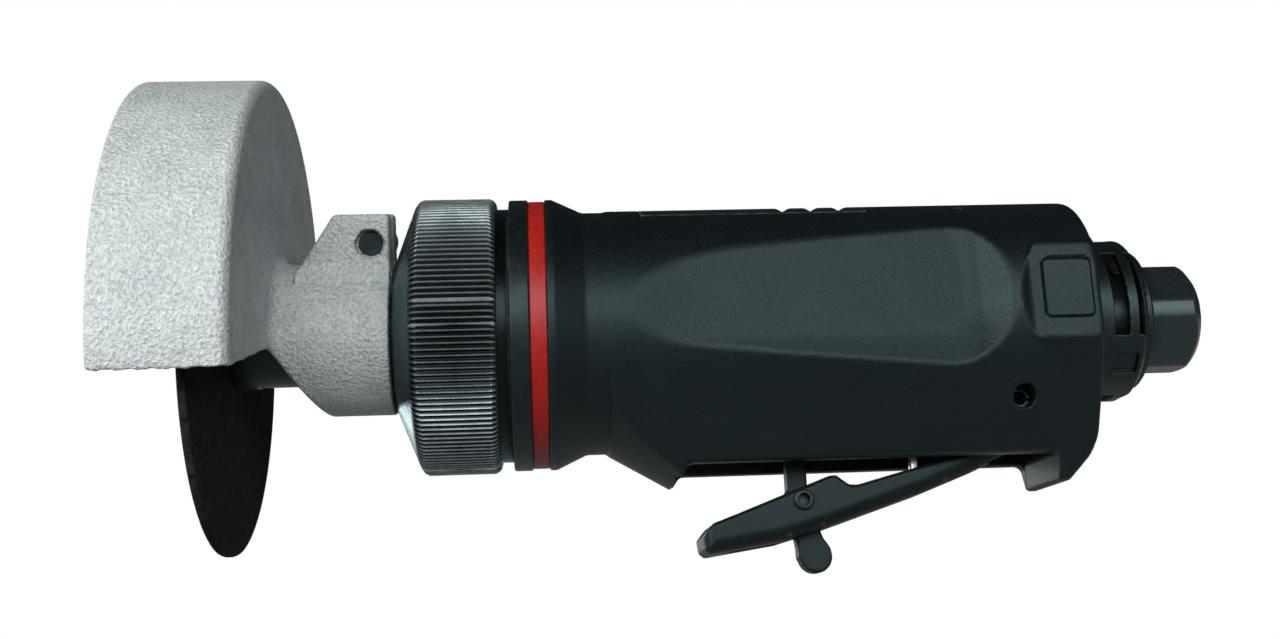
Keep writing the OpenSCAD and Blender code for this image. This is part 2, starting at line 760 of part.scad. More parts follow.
module red_ring() {
    color("#b3121a") ring_x(x_red, x_front, red_ring_r, skirt_r + run_fit);
}

// The bar or hole of the pin that keeps the rear plate and the cylinder in line
module locating_bar(x0, x1) {
    translate([0, motor_r - locating_inset, 0]) bar_x(x0, x1, locating_r);
}

module motor_cylinder() {
    color("#8d9194") difference() {
        bar_x(x_plate, x_cylinder, motor_r);
        translate([0, 0, bore_offset]) bar_x(x_plate - 1, x_cylinder + 1, cylinder_bore_d / 2);
        for (i = [0 : outlet_count - 1]) translate([x_plate + outlet_first + i * outlet_pitch, 0, 0])
            cylinder(h = motor_r + 1, d = outlet_d);
        locating_bar(x_cylinder - locating_len, x_cylinder + 1);
    }
}

module front_end_plate() {
    color("#9b9fa2") difference() {
        union() {
            bar_x(x_skirt, x_plate, motor_r);
            bar_x(x_front_bearing, x_skirt + 1, front_cup_r);
        }
        bar_x(x_front_bearing - 1, x_skirt, front_bearing_d / 2);
        bar_x(x_skirt - 1, x_plate + 1, front_shaft_r + bearing_shoulder);
    }
}

module rear_end_plate() {
    color("#9b9fa2") difference() {
        bar_x(x_cylinder, x_motor_end, motor_r);
        bar_x(x_rear_bearing, x_motor_end + 1, rear_bearing_d / 2);
        bar_x(x_cylinder - 1, x_rear_bearing + 1, rear_shaft_r + bearing_shoulder);
        translate([0, 0, -port_drop]) bar_x(x_cylinder - 1, x_motor_end + 1, port_d / 2);
        locating_bar(x_cylinder - 1, x_cylinder + locating_len);
    }
}

module locating_pin() {
    color("#c2c5c7") locating_bar(x_cylinder - locating_len, x_cylinder + locating_len);
}

// The races of a ball bearing share their groove with the balls
function ball_size(bore, d) = (d - bore) * ball_share;
function ball_pitch_r(bore, d) = (bore + d) / 4;

module bearing_groove(x, w, bore, d) {
    wire_ring(x + w / 2, ball_pitch_r(bore, d), ball_size(bore, d) + 2 * run_fit);
}

module bearing_outer(x, w, bore, d) {
    difference() {
        ring_x(x, x + w, d / 2, ball_pitch_r(bore, d) + ball_size(bore, d) * race_share);
        bearing_groove(x, w, bore, d);
    }
}

module bearing_inner(x, w, bore, d) {
    difference() {
        ring_x(x, x + w, ball_pitch_r(bore, d) - ball_size(bore, d) * race_share, bore / 2);
        bearing_groove(x, w, bore, d);
    }
}

module bearing_balls(x, w, bore, d) {
    for (i = [0 : ball_count - 1]) rotate([i * 360 / ball_count, 0, 0])
        translate([x + w / 2, 0, ball_pitch_r(bore, d)]) sphere(d = ball_size(bore, d));
}

module front_bearing_outer() {
    color("#b8bcbf") bearing_outer(x_front_bearing, front_bearing_w, front_bearing_bore, front_bearing_d);
}

module front_bearing_inner() {
    color("#b8bcbf") bearing_inner(x_front_bearing, front_bearing_w, front_bearing_bore, front_bearing_d);
}

module front_bearing_balls() {
    color("#d6d9db") bearing_balls(x_front_bearing, front_bearing_w, front_bearing_bore, front_bearing_d);
}

module rear_bearing_outer() {
    color("#b8bcbf") bearing_outer(x_rear_bearing, rear_bearing_w, rear_bearing_bore, rear_bearing_d);
}

module rear_bearing_inner() {
    color("#b8bcbf") bearing_inner(x_rear_bearing, rear_bearing_w, rear_bearing_bore, rear_bearing_d);
}

module rear_bearing_balls() {
    color("#d6d9db") bearing_balls(x_rear_bearing, rear_bearing_w, rear_bearing_bore, rear_bearing_d);
}

// One vane or its slot, at the rotor's rim
module vane_block(x0, x1, thick, low, high) {
    for (i = [0 : vane_count - 1]) rotate([i * 360 / vane_count, 0, 0])
        translate([x0, -thick / 2, low]) cube([x1 - x0, thick, high - low]);
}

module rotor() {
    color("#a3a7aa") difference() {
        union() {
            bar_x(x_shaft_front, x_plate + 1, front_shaft_r);
            bar_x(x_plate + side_gap, x_cylinder - side_gap, rotor_d / 2);
            bar_x(x_cylinder - 1, x_shaft_rear, rear_shaft_r);
        }
        vane_block(x_plate - 1, x_cylinder + 1, vane_t + 2 * run_fit, rotor_d / 2 - vane_h - side_gap, rotor_d);
        bar_x(x_shaft_front - 1, x_shaft_front + wheel_screw_len + 1, wheel_screw_d / 2);
    }
}

module rotor_vanes() {
    color("#6d5a3c") vane_block(x_plate + side_gap, x_cylinder - side_gap, vane_t,
        rotor_d / 2 - vane_h - side_gap, rotor_d / 2 - side_gap);
}

module inner_flange() {
    spigot_r = wheel_bore_d / 2 - run_fit;
    hub_r = flange_d / 2 - 0.2;
    color("#6f7375") difference() {
        union() {
            bar_x(x_wheel, x_flange_back, flange_d / 2);
            bar_x(x_flange_back - 1, x_nose - neck_gap, hub_r);
            bar_x(x_wheel_front, x_wheel + 1, spigot_r);
        }
        bar_x(x_shaft_front, x_nose, front_shaft_r);
        bar_x(x_wheel_front - 1, x_shaft_front + 1, wheel_screw_d / 2);
    }
}

module cutting_wheel() {
    color("#1b1b1c") ring_x(x_wheel_front, x_wheel, wheel_d / 2, wheel_bore_d / 2);
}

module outer_flange() {
    color("#6f7375") ring_x(x_flange_front, x_wheel_front, flange_d / 2, wheel_screw_d / 2);
}

module wheel_screw() {
    color("#4a4d50") difference() {
        union() {
            bar_x(x_flange_front - wheel_screw_head_h, x_flange_front, wheel_screw_head_d / 2);
            bar_x(x_flange_front - 1, x_shaft_front + wheel_screw_len, wheel_screw_d / 2);
        }
        along_x(x_flange_front - wheel_screw_head_h - 1, x_flange_front - wheel_socket_floor)
            circle(d = wheel_socket_d, $fn = 6);
    }
}

// The half hood over the wheel: a band, a back plate and a filleted edge between them
module hood() {
    inner_r = hood_r - hood_wall;
    rotate([0, 90, 0]) rotate_extrude(angle = 180) difference() {
        union() {
            translate([0, x_hood_front]) square([hood_r, hood_depth - hood_fillet]);
            translate([0, x_hood_front]) square([hood_r - hood_fillet, hood_depth]);
            translate([hood_r - hood_fillet, x_hood - hood_fillet]) circle(r = hood_fillet);
        }
        translate([-1, x_hood_front - 1]) square([inner_r + 1, hood_depth - hood_wall + 1]);
    }
}

module guard() {
    color("#b4b8ba") rotate([guard_angle, 0, 0]) difference() {
        union() {
            rotate([90, 0, 0]) hood();
            bar_x(x_hood - 0.5, x_neck, neck_r);
            across_y(lug_half_w) polygon([[x_neck, lug_low], [x_neck, lug_top], [lug_front_top, lug_top],
                [lug_front_low, neck_r - 1.5], [lug_front_low, lug_low]]);
        }
        bar_x(x_hood_floor - 1, x_neck + 1, neck_bore_r);
        across_y(neck_r + 1) polygon([[neck_cut_x, -neck_r - 1], [neck_cut_x, -neck_r], [x_hood - 0.5, 0],
            [x_hood_floor - 1, 0], [x_hood_floor - 1, -neck_r - 1]]);
        translate([lug_front_low - 1, -pinch_slot_w / 2, 0])
            cube([x_neck - lug_front_low + 2, pinch_slot_w, lug_top + 1]);
        bar_y([clamp_x, clamp_z], -lug_half_w - 1, lug_half_w + 1, clamp_screw_d / 2);
    }
}

module clamp_screw() {
    color("#3a3c3e") rotate([guard_angle, 0, 0]) difference() {
        union() {
            bar_y([clamp_x, clamp_z], -lug_half_w + clamp_sink, lug_half_w + 1, clamp_screw_d / 2);
            bar_y([clamp_x, clamp_z], lug_half_w, lug_half_w + clamp_head_h, clamp_head_r);
        }
        translate([clamp_x, lug_half_w + clamp_head_h + 1, clamp_z]) rotate([90, 0, 0])
            cylinder(h = clamp_socket_h + 1, r = clamp_socket_r, $fn = 6);
    }
}

module valve_bushing() {
    color("#b08d4a") difference() {
        translate([x_valve, 0, -channel_ceiling]) cylinder(h = channel_ceiling - seat_drop, d = valve_bore_d);
        translate([x_valve, 0, -channel_ceiling - 1]) cylinder(h = channel_ceiling, d = stem_d + 2 * run_fit);
        translate([x_valve, 0, guide_top]) cylinder(h = -guide_top - seat_drop - seat_t, d = valve_chamber_d);
        translate([x_valve, 0, -seat_drop - seat_t - 1]) cylinder(h = seat_t + 2, d = seat_hole_d);
        translate([0, 0, -port_drop]) bar_x(x_valve - valve_bore_d, x_valve, port_d / 2);
    }
}

module valve_stem() {
    stem_top = ball_z - ball_d / 2;
    round_z = stem_low + stem_d / 2;
    color("#d4d7d9") translate([x_valve, 0, round_z]) union() {
        cylinder(h = stem_top - round_z, d = stem_d);
        sphere(d = stem_d);
    }
}

module valve_ball() {
    color("#d4d7d9") translate([x_valve, 0, ball_z]) sphere(d = ball_d);
}

module valve_spring() {
    low = ball_z + ball_d / 2 + spring_gap;
    color("#9da1a4") translate([x_valve, 0, low]) helix(spring_turns, ball_d / 2 - 0.6,
        valve_top - low - spring_wire - spring_gap, spring_wire, spring_steps);
}

// Side view of the lever: a grip with a raised front, and ears that run up to the pivot
module lever_side() {
    foremost = pivot[0] - latch_reach - lever_front;
    polygon(concat([for (p = lever_tip) [foremost + p[0], pivot[1] + p[1]]],
        [for (p = concat(lever_under, lever_ear)) pivot + p],
        [for (p = lever_top) latch_pin_at + p]));
    translate(pivot) circle(r = ear_r);
}

// The hollow between the lever's side walls: everything above its floor
module lever_hollow() {
    front = pivot[0] + lever_under[0][0] + 0.6;
    back = pivot[0] + ear_r + 1;
    floor_rear = lever_under[len(lever_under) - 1];
    polygon(concat([[front, pivot[1] + ear_r + 1], [front, pivot[1] + lever_under[0][1] + lever_wall + 0.1]],
        [for (i = [1 : len(lever_under) - 1]) pivot + lever_under[i] + [0, lever_wall]],
        [[back, pivot[1] + floor_rear[1] + lever_wall], [back, pivot[1] + ear_r + 1]]));
}

module throttle_lever() {
    color("#202224") difference() {
        across_y(lever_half_w) lever_side();
        across_y(lever_half_w - lever_wall) lever_hollow();
        bar_y(pivot, -lever_half_w - 1, lever_half_w + 1, lever_pin_d / 2 + run_fit);
        bar_y(latch_pin_at, -lever_half_w - 1, lever_half_w + 1, latch_pin_d / 2);
        translate([latch_slot[0], -latch_slot_half_w, latch_pin_at[1] - 12])
            cube([latch_slot[1] - latch_slot[0], 2 * latch_slot_half_w, 12]);
    }
}

module lever_pin() {
    pin_half = wall_half_w + (wall_drop - pivot_drop) * tan(grip_slope) - lever_pin_sink;
    color("#77797b") difference() {
        bar_y(pivot, -pin_half, pin_half, lever_pin_d / 2);
        bar_y(pivot, -pin_half - 1, pin_half + 1, lever_pin_d / 2 - lever_pin_wall);
    }
}

module safety_latch() {
    half_t = latch_t / 2;
    arm_half = latch_arm_w / 2;
    arm_tip = latch_pin_at + [0, latch_arm - arm_half];
    color("#242628") difference() {
        union() {
            bar_y(latch_pin_at, -half_t, half_t, latch_hub_r);
            bar_y(arm_tip, -half_t, half_t, arm_half);
            bar_y(latch_bulge, -half_t, half_t, latch_bulge_r);
            across_y(half_t) polygon([latch_pin_at + [-arm_half, 0], latch_pin_at + [arm_half, 0],
                arm_tip + [arm_half, 0], arm_tip + [-arm_half, 0]]);
            across_y(half_t) polygon([latch_pin_at + [-arm_half, 0], latch_bulge + [-latch_bulge_r, 0],
                latch_bulge + [0.5, -1], latch_bulge + [2.3, 1.2], latch_pin_at + [arm_half, 0]]);
        }
        bar_y(latch_pin_at, -latch_t, latch_t, latch_pin_d / 2 + run_fit);
    }
}

module latch_pin() {
    color("#3a3d40") difference() {
        union() {
            bar_y(latch_pin_at, -lever_half_w, lever_half_w, latch_pin_d / 2);
            for (side = [0, 1]) mirror([0, side, 0])
                bar_y(latch_pin_at, -lever_half_w - latch_head_h, -lever_half_w, latch_head_r);
        }
        for (side = [0, 1]) mirror([0, side, 0])
            bar_y(latch_pin_at, -lever_half_w - latch_head_h - 1, -lever_half_w + 1, latch_pin_d / 2 - 0.4);
    }
}

module latch_spring() {
    inner = latch_t / 2 + lever_gap;
    room = lever_half_w - lever_wall - inner;
    outer = inner + room - latch_spring_wire / 2 - side_gap;
    coil_r = latch_pin_d / 2 + latch_spring_wire / 2 + latch_spring_gap;
    color("#9da1a4") translate([latch_pin_at[0], outer, latch_pin_at[1]]) rotate([90, 0, 0])
        helix(latch_spring_turns, coil_r, room - latch_spring_wire - 2 * side_gap, latch_spring_wire,
            spring_steps);
}

housing();
top_plate();
lock_screw();
inlet_bushing();
inlet_seal();
inlet_screen();
exhaust_deflector();
clamp_nut();
front_ring();
red_ring();
motor_cylinder();
front_end_plate();
rear_end_plate();
locating_pin();
front_bearing_outer();
front_bearing_inner();
front_bearing_balls();
rear_bearing_outer();
rear_bearing_inner();
rear_bearing_balls();
rotor();
rotor_vanes();
inner_flange();
cutting_wheel();
outer_flange();
wheel_screw();
guard();
clamp_screw();
valve_bushing();
valve_stem();
valve_ball();
valve_spring();
throttle_lever();
lever_pin();
safety_latch();
latch_pin();
latch_spring();
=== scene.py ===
import math

import bmesh
import bpy
import numpy as np
from mathutils import Matrix, Vector


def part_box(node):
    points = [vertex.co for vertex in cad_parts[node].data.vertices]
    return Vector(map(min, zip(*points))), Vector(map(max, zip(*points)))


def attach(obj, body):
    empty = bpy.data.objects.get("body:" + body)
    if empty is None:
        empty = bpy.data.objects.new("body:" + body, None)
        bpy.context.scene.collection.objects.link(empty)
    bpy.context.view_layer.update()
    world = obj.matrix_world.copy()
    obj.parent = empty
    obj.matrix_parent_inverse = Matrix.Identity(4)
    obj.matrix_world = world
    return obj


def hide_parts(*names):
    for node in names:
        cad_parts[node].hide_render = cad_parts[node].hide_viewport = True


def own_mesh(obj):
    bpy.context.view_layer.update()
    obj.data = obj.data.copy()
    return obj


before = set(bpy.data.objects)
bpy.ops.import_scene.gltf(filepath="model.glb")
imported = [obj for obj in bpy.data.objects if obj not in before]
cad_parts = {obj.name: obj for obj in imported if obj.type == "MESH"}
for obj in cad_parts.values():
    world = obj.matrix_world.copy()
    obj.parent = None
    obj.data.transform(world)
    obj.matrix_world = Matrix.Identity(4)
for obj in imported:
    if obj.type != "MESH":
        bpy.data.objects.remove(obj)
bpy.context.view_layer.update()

# Housing: the grip that everything else is fixed to.
# It is moulded in glass-filled nylon with a fine matte grain; the motor cavity, the air bores,
# the lever's channel, the side dishes and the rear bosses are all part of the one moulding.
MM = 0.001
X_FRONT = -119.0
X_GRIP = -108.8
X_REAR = -23.0
GRIP_R = 22.2
RIM_R = 24.5
FLANK = math.radians(26.79)
FLARE = math.radians(30)
PIVOT = (-37.1, -16.3)
X_VALVE = -53.1


def rounded_and(a, b, r):
    """Where two fields overlap, with the edge between them rounded."""
    corner = np.hypot(np.maximum(a + r, 0), np.maximum(b + r, 0))
    return np.minimum(-r, np.maximum(a, b)) + corner


def rounded_or(a, b, r):
    """Two fields joined, with a fillet between them."""
    corner = np.hypot(np.maximum(r - a, 0), np.maximum(r - b, 0))
    return np.maximum(r, np.minimum(a, b)) - corner


def cut(a, b, r=0.0):
    """The first field with the second one taken away."""
    if r:
        return rounded_and(a, -b, r)
    return np.maximum(a, -b)


def slab(v, low, high):
    """Distance to the space between two parallel planes."""
    return np.maximum(low - v, v - high)


def rounded_outline(corners, parts=6):
    """A closed outline from corners (u, v, radius), each turned into an arc."""
    points = []
    count = len(corners)
    for i, (u, v, r) in enumerate(corners):
        here = Vector((u, v))
        if r == 0:
            points.append((u, v))
            continue
        back = (Vector(corners[i - 1][:2]) - here).normalized()
        ahead = (Vector(corners[(i + 1) % count][:2]) - here).normalized()
        half = back.angle(ahead) / 2
        centre = here + (back + ahead).normalized() * (r / math.sin(half))
        start = here + back * (r / math.tan(half)) - centre
        end = here + ahead * (r / math.tan(half)) - centre
        first = math.atan2(start.y, start.x)
        sweep = math.atan2(end.y, end.x) - first
        sweep = (sweep + math.pi) % (2 * math.pi) - math.pi
        for k in range(parts + 1):
            angle = first + sweep * k / parts
            points.append((centre.x + r * math.cos(angle), centre.y + r * math.sin(angle)))
    return points


def outline_field(u, v, points):
    """Distance to a closed outline, negative inside it."""
    u, v = np.broadcast_arrays(u, v)
    nearest = np.full(u.shape, 1e9)
    inside = np.zeros(u.shape, bool)
    for (au, av), (bu, bv) in zip(points, points[1:] + points[:1]):
        eu, ev = bu - au, bv - av
        length = eu * eu + ev * ev
        if length < 1e-12:
            continue
        wu, wv = u - au, v - av
        t = np.clip((wu * eu + wv * ev) / length, 0, 1)
        nearest = np.minimum(nearest, (wu - eu * t) ** 2 + (wv - ev * t) ** 2)
        if ev != 0:
            crosses = (av > v) != (bv > v)
            inside ^= crosses & (u < au + eu * (v - av) / ev)
    return np.where(inside, -1.0, 1.0) * np.sqrt(nearest)


def add_mesh(name, points, faces, normals=None):
    """A mesh object from points in millimetres."""
    mesh = bpy.data.meshes.new(name)
    mesh.from_pydata((np.asarray(points) * MM).tolist(), [], faces)
    mesh.update()
    mesh.shade_smooth()
    if normals is not None:
        mesh.normals_split_custom_set_from_vertices(normals.tolist())
    piece = bpy.data.objects.new(name, mesh)
    bpy.context.scene.collection.objects.link(piece)
    return piece


def field_mesh(name, field, low, high, step):
    """Skins a distance field: one point in each cell that the surface crosses, drawn onto the surface."""
    axes = [np.arange(a - 1.5 * step, b + 2.5 * step, step) for a, b in zip(low, high)]
    x, y, z = axes
    value = field(x[:, None, None], y[None, :, None], z[None, None, :])
    value = np.broadcast_to(value, (len(x), len(y), len(z)))
    solid = value < 0
    count = np.zeros([len(a) - 1 for a in axes], np.int8)
    shape = count.shape
    corners = [(i, j, k) for i in (0, 1) for j in (0, 1) for k in (0, 1)]
    for i, j, k in corners:
        count += solid[i:shape[0] + i, j:shape[1] + j, k:shape[2] + k]
    # The surface crosses the cells that have corners on both of its sides.
    cells = np.argwhere((count > 0) & (count < 8))
    number = np.full(shape, -1, np.int64)
    number[tuple(cells.T)] = np.arange(len(cells))
    # A cell's point is the mean of the places where the surface crosses the cell's edges.
    total = np.zeros((len(cells), 3))
    hits = np.zeros(len(cells))
    for a in corners:
        for axis in range(3):
            if a[axis]:
                continue
            b = tuple(1 if n == axis else a[n] for n in range(3))
            va = value[tuple((cells + a).T)]
            vb = value[tuple((cells + b).T)]
            crossed = (va < 0) != (vb < 0)
            share = np.where(crossed, va / np.where(crossed, va - vb, 1), 0)
            place = np.array(a, float) + share[:, None] * (np.array(b) - a)
            total += place * crossed[:, None]
            hits += crossed
    origin = np.array([a[0] for a in axes])
    points = origin + (cells + total / hits[:, None]) * step
    # Each grid edge that crosses the surface gets a quad from the four cells around it.
    faces = []
    for axis in range(3):
        p, q = [n for n in range(3) if n != axis]
        inner = [slice(1, -1)] * 3
        inner[axis] = slice(0, -1)
        ahead = [slice(1, -1)] * 3
        ahead[axis] = slice(1, None)
        here, there = solid[tuple(inner)], solid[tuple(ahead)]
        for found, turned in ((here & ~there, False), (~here & there, True)):
            edges = np.argwhere(found)
            edges[:, [p, q]] += 1
            ring = []
            for dp, dq in ((0, 0), (-1, 0), (-1, -1), (0, -1)):
                at = edges.copy()
                at[:, p] += dp
                at[:, q] += dq
                ring.append(number[tuple(at.T)])
            quads = np.stack(ring, 1)
            if turned != (axis == 1):
                quads = quads[:, ::-1]
            faces.append(quads)
    faces = np.concatenate(faces)

    def slope(at):
        h = 0.02
        parts = []
        for n in range(3):
            shift = np.zeros(3)
            shift[n] = h
            parts.append((field(*(at + shift).T) - field(*(at - shift).T)) / (2 * h))
        return np.stack(parts, 1)

    # The points are drawn onto the surface, and take their normals from the field.
    for _ in range(3):
        grade = slope(points)
        size = np.maximum((grade ** 2).sum(1), 0.05)
        move = (field(*points.T) / size)[:, None] * grade
        far = np.sqrt((move ** 2).sum(1))
        points = points - move * np.minimum(1, 0.45 * step / np.maximum(far, 1e-9))[:, None]
    grade = slope(points)
    normals = grade / np.maximum(np.sqrt((grade ** 2).sum(1)), 1e-6)[:, None]
    return add_mesh(name, points, faces.tolist(), normals)


GRIP_SIDE = rounded_outline([
    (X_GRIP, 23.4, 0), (X_REAR, 23.4, 4.5), (X_REAR, -22.8, 6), (-24.6, -26.4, 6), (-28.0, -30.4, 1.0),
    (-30.0, -30.4, 0.8), (-30.0, -25.5, 1.2), (-95.0, -25.5, 1.5), (-97.2, -28.7, 0.5), (X_GRIP, -28.7, 0)])
GRIP_PLAN = rounded_outline([
    (X_GRIP - 1, -23.2, 0), (X_REAR, -23.2, 5), (X_REAR, 23.2, 5), (X_GRIP - 1, 23.2, 0)])
NOSE_TURNING = rounded_outline([
    (X_FRONT, -5, 0), (X_FRONT, RIM_R, 0.35), (-117.7, RIM_R, 0.5), (-112.3, 22.0, 1.6), (-107.5, 22.0, 0),
    (-107.5, -5, 0)])
DISH_SIDE = rounded_outline([
    (-38.8, -12.2, 11.5), (-38.8, 18.1, 14.5), (-106, 10.8, 3), (-106, -7.2, 3)], 12)
DISH_X = -51.2
DISH_FLOOR = 18.06
DISH_RISE = math.tan(math.radians(3.3))
DISH_LEAN = math.tan(math.radians(3))
DISH_TIP_X = -104
DISH_RUN_OUT = math.tan(math.radians(12))
DISH_BLEND = 1.2
DISH_WALL_SLOPE = 1.35
DISH_WALL_SCALE = 1.68
BOSS_X = -36.0
BOSS_Z = (-7.4, 10.3)
BOSS_REACH = 21.3
BOSS_RAKE = 1.9
PANEL_X = (-33.4, -25.0)
PANEL_Z = (-3.4, 6.8)
PANEL_REACH = 20.8


def dish_floor(x, z):
    """How far out the dish's floor lies: it leans back, rises forward and runs out softly at the front."""
    flat = DISH_FLOOR + (DISH_X - x) * DISH_RISE - z * DISH_LEAN
    ramp = GRIP_R + (DISH_TIP_X - x) * DISH_RUN_OUT
    near = np.maximum(DISH_BLEND - np.abs(flat - ramp), 0)
    return np.maximum(flat, ramp) + near * near / (4 * DISH_BLEND)


def outer_grip(x, y, z):
    """The moulding from outside: drop-shaped section, ends, flare, bosses, dishes and the turned nose."""
    reach = np.abs(y)
    radius = np.hypot(y, z)
    down = -reach * math.sin(FLANK) - z * math.cos(FLANK)
    flank = reach * math.cos(FLANK) - z * math.sin(FLANK) - GRIP_R
    section = np.where(down > 0, flank, radius - GRIP_R)
    ends = rounded_and(outline_field(x, z, GRIP_SIDE), outline_field(x, y, GRIP_PLAN), 1.2)
    grip = rounded_and(section, ends, 0.9)
    flare = (radius - GRIP_R - 0.02) * math.cos(FLARE) - (x - X_GRIP) * math.sin(FLARE)
    grip = rounded_and(grip, flare, 0.5)
    boss_wall = BOSS_X - (reach - BOSS_REACH) * BOSS_RAKE - x
    boss_face = rounded_and(slab(z, *BOSS_Z), boss_wall, 1.6)
    boss = rounded_and(rounded_and(reach - BOSS_REACH, boss_face, 1.5), ends, 1.2)
    grip = rounded_or(grip, boss, 1.5)
    grip = cut(grip, rounded_and(BOSS_REACH - reach, boss_face, 0.4), 0.4)
    panel = rounded_and(slab(x, *PANEL_X), slab(z, *PANEL_Z), 1.0)
    grip = cut(grip, rounded_and(PANEL_REACH - reach, panel, 0.2), 0.25)
    dish_wall = (outline_field(x, z, DISH_SIDE) - DISH_WALL_SLOPE * section) / DISH_WALL_SCALE
    dish = rounded_and(dish_floor(x, z) - reach, dish_wall, 1.2)
    grip = cut(grip, dish, 0.4)
    return np.minimum(grip, outline_field(x, radius, NOSE_TURNING))


CHANNEL_X = (-97.2, -30.0)
CHANNEL_HALF = 8.2
CHANNEL_ROOF = -20.5
EAR_ROOM_X = (-45.1, -30.0)
EAR_ROOM_ROOF = -12.3
PIN_R = 1.95
SEAT_X = (-102.0, -61.0)
SEAT_HALF = 12.0
SEAT_R = 21.0
LOCK_X = -44.5
LOCK_R = 1.5
LOCK_TURN = math.radians(30)
NUT_BORE_R = 20.55
NUT_BORE_END = -115.5
MOTOR_BORE_R = 18.0
MOTOR_BORE_END = -62.0
INLET_BORE_R = 8.8
INLET_BORE_END = -47.0
AIR_BORE_R = 3.5
AIR_BORE_END = -46.0
VALVE_BORE_R = 4.5
VALVE_BORE_ROOF = 7.0
FEED_BORE_R = 1.6
FEED_BORE_Z = -12.5
FEED_BORE_END = -63.0
EXHAUST_R = 1.8
EXHAUST_Y = 5.9
EXHAUST_Z = 10.22
EXHAUST_END = -62.5
EXHAUST_GALLERY = ((-63.0, -59.5), 9, (7.5, 17.0))
EXHAUST_DUCT = ((-110.5, -59.5), 5, (13.9, 19.8))


def housing_field(x, y, z):
    """The moulding with its channel, seats and bores cut into it."""
    reach = np.abs(y)
    radius = np.hypot(y, z)
    grip = outer_grip(x, y, z)
    channel = np.maximum(slab(x, *CHANNEL_X), reach - CHANNEL_HALF)
    grip = cut(grip, np.maximum(channel, z - CHANNEL_ROOF), 0.4)
    ear_room = np.maximum(slab(x, *EAR_ROOM_X), reach - CHANNEL_HALF)
    grip = cut(grip, np.maximum(ear_room, z - EAR_ROOM_ROOF))
    grip = cut(grip, np.hypot(x - PIVOT[0], z - PIVOT[1]) - PIN_R, 0.25)
    seat = np.maximum(np.maximum(slab(x, *SEAT_X), reach - SEAT_HALF), SEAT_R - radius)
    grip = cut(grip, np.maximum(seat, -z))
    lock_reach = np.hypot(x - LOCK_X, y * math.cos(LOCK_TURN) + z * math.sin(LOCK_TURN))
    grip = cut(grip, np.maximum(lock_reach - LOCK_R, -z), 0.2)
    grip = cut(grip, np.maximum(radius - NUT_BORE_R, x - NUT_BORE_END))
    grip = cut(grip, np.maximum(radius - MOTOR_BORE_R, x - MOTOR_BORE_END))
    grip = cut(grip, np.maximum(radius - INLET_BORE_R, INLET_BORE_END - x))
    grip = cut(grip, np.maximum(radius - AIR_BORE_R, slab(x, X_VALVE, AIR_BORE_END)))
    grip = cut(grip, np.maximum(np.hypot(x - X_VALVE, y) - VALVE_BORE_R, z - VALVE_BORE_ROOF))
    feed = np.hypot(y, z - FEED_BORE_Z) - FEED_BORE_R
    grip = cut(grip, np.maximum(feed, slab(x, FEED_BORE_END, X_VALVE)))
    exhaust = np.hypot(reach - EXHAUST_Y, z - EXHAUST_Z) - EXHAUST_R
    grip = cut(grip, np.maximum(exhaust, EXHAUST_END - x))
    for length, half, height in (EXHAUST_GALLERY, EXHAUST_DUCT):
        grip = cut(grip, np.maximum(np.maximum(slab(x, *length), reach - half), slab(z, *height)))
    return grip


def socket(group, name, kind, direction="INPUT"):
    """Adds a socket to a node group."""
    group.interface.new_socket(name=name, in_out=direction, socket_type=kind)


def make_grain_group():
    """Grain of a moulded, cast or ground surface: a fine speckle over a broad, faint unevenness."""
    group = bpy.data.node_groups.new("Surface grain", "ShaderNodeTree")
    socket(group, "Scale", "NodeSocketFloat")
    socket(group, "Stretch", "NodeSocketVector")
    socket(group, "Dark", "NodeSocketColor")
    socket(group, "Light", "NodeSocketColor")
    socket(group, "Smooth", "NodeSocketFloat")
    socket(group, "Rough", "NodeSocketFloat")
    socket(group, "Color", "NodeSocketColor", "OUTPUT")
    socket(group, "Roughness", "NodeSocketFloat", "OUTPUT")
    socket(group, "Height", "NodeSocketFloat", "OUTPUT")
    nodes, links = group.nodes, group.links
    given = nodes.new("NodeGroupInput")
    result = nodes.new("NodeGroupOutput")
    place = nodes.new("ShaderNodeTexCoord")
    stretch = nodes.new("ShaderNodeVectorMath")
    stretch.operation = "MULTIPLY"
    links.new(place.outputs["Object"], stretch.inputs[0])
    links.new(given.outputs["Stretch"], stretch.inputs[1])
    fine = nodes.new("ShaderNodeTexNoise")
    fine.inputs["Detail"].default_value = 3
    fine.inputs["Roughness"].default_value = 0.6
    links.new(stretch.outputs[0], fine.inputs["Vector"])
    links.new(given.outputs["Scale"], fine.inputs["Scale"])
    broad = nodes.new("ShaderNodeTexNoise")
    broad.inputs["Scale"].default_value = 120
    broad.inputs["Detail"].default_value = 2
    links.new(place.outputs["Object"], broad.inputs["Vector"])
    both = nodes.new("ShaderNodeMix")
    both.inputs["Factor"].default_value = 0.25
    links.new(fine.outputs["Fac"], both.inputs[2])
    links.new(broad.outputs["Fac"], both.inputs[3])
    spread = nodes.new("ShaderNodeMapRange")
    spread.inputs["From Min"].default_value = 0.32
    spread.inputs["From Max"].default_value = 0.68
    links.new(both.outputs[0], spread.inputs["Value"])
    tint = nodes.new("ShaderNodeMix")
    tint.data_type = "RGBA"
    links.new(spread.outputs["Result"], tint.inputs["Factor"])
    links.new(given.outputs["Dark"], tint.inputs[6])
    links.new(given.outputs["Light"], tint.inputs[7])
    links.new(tint.outputs[2], result.inputs["Color"])
    shine = nodes.new("ShaderNodeMix")
    links.new(spread.outputs["Result"], shine.inputs["Factor"])
    links.new(given.outputs["Smooth"], shine.inputs[2])
    links.new(given.outputs["Rough"], shine.inputs[3])
    links.new(shine.outputs[0], result.inputs["Roughness"])
    links.new(fine.outputs["Fac"], result.inputs["Height"])
    return group


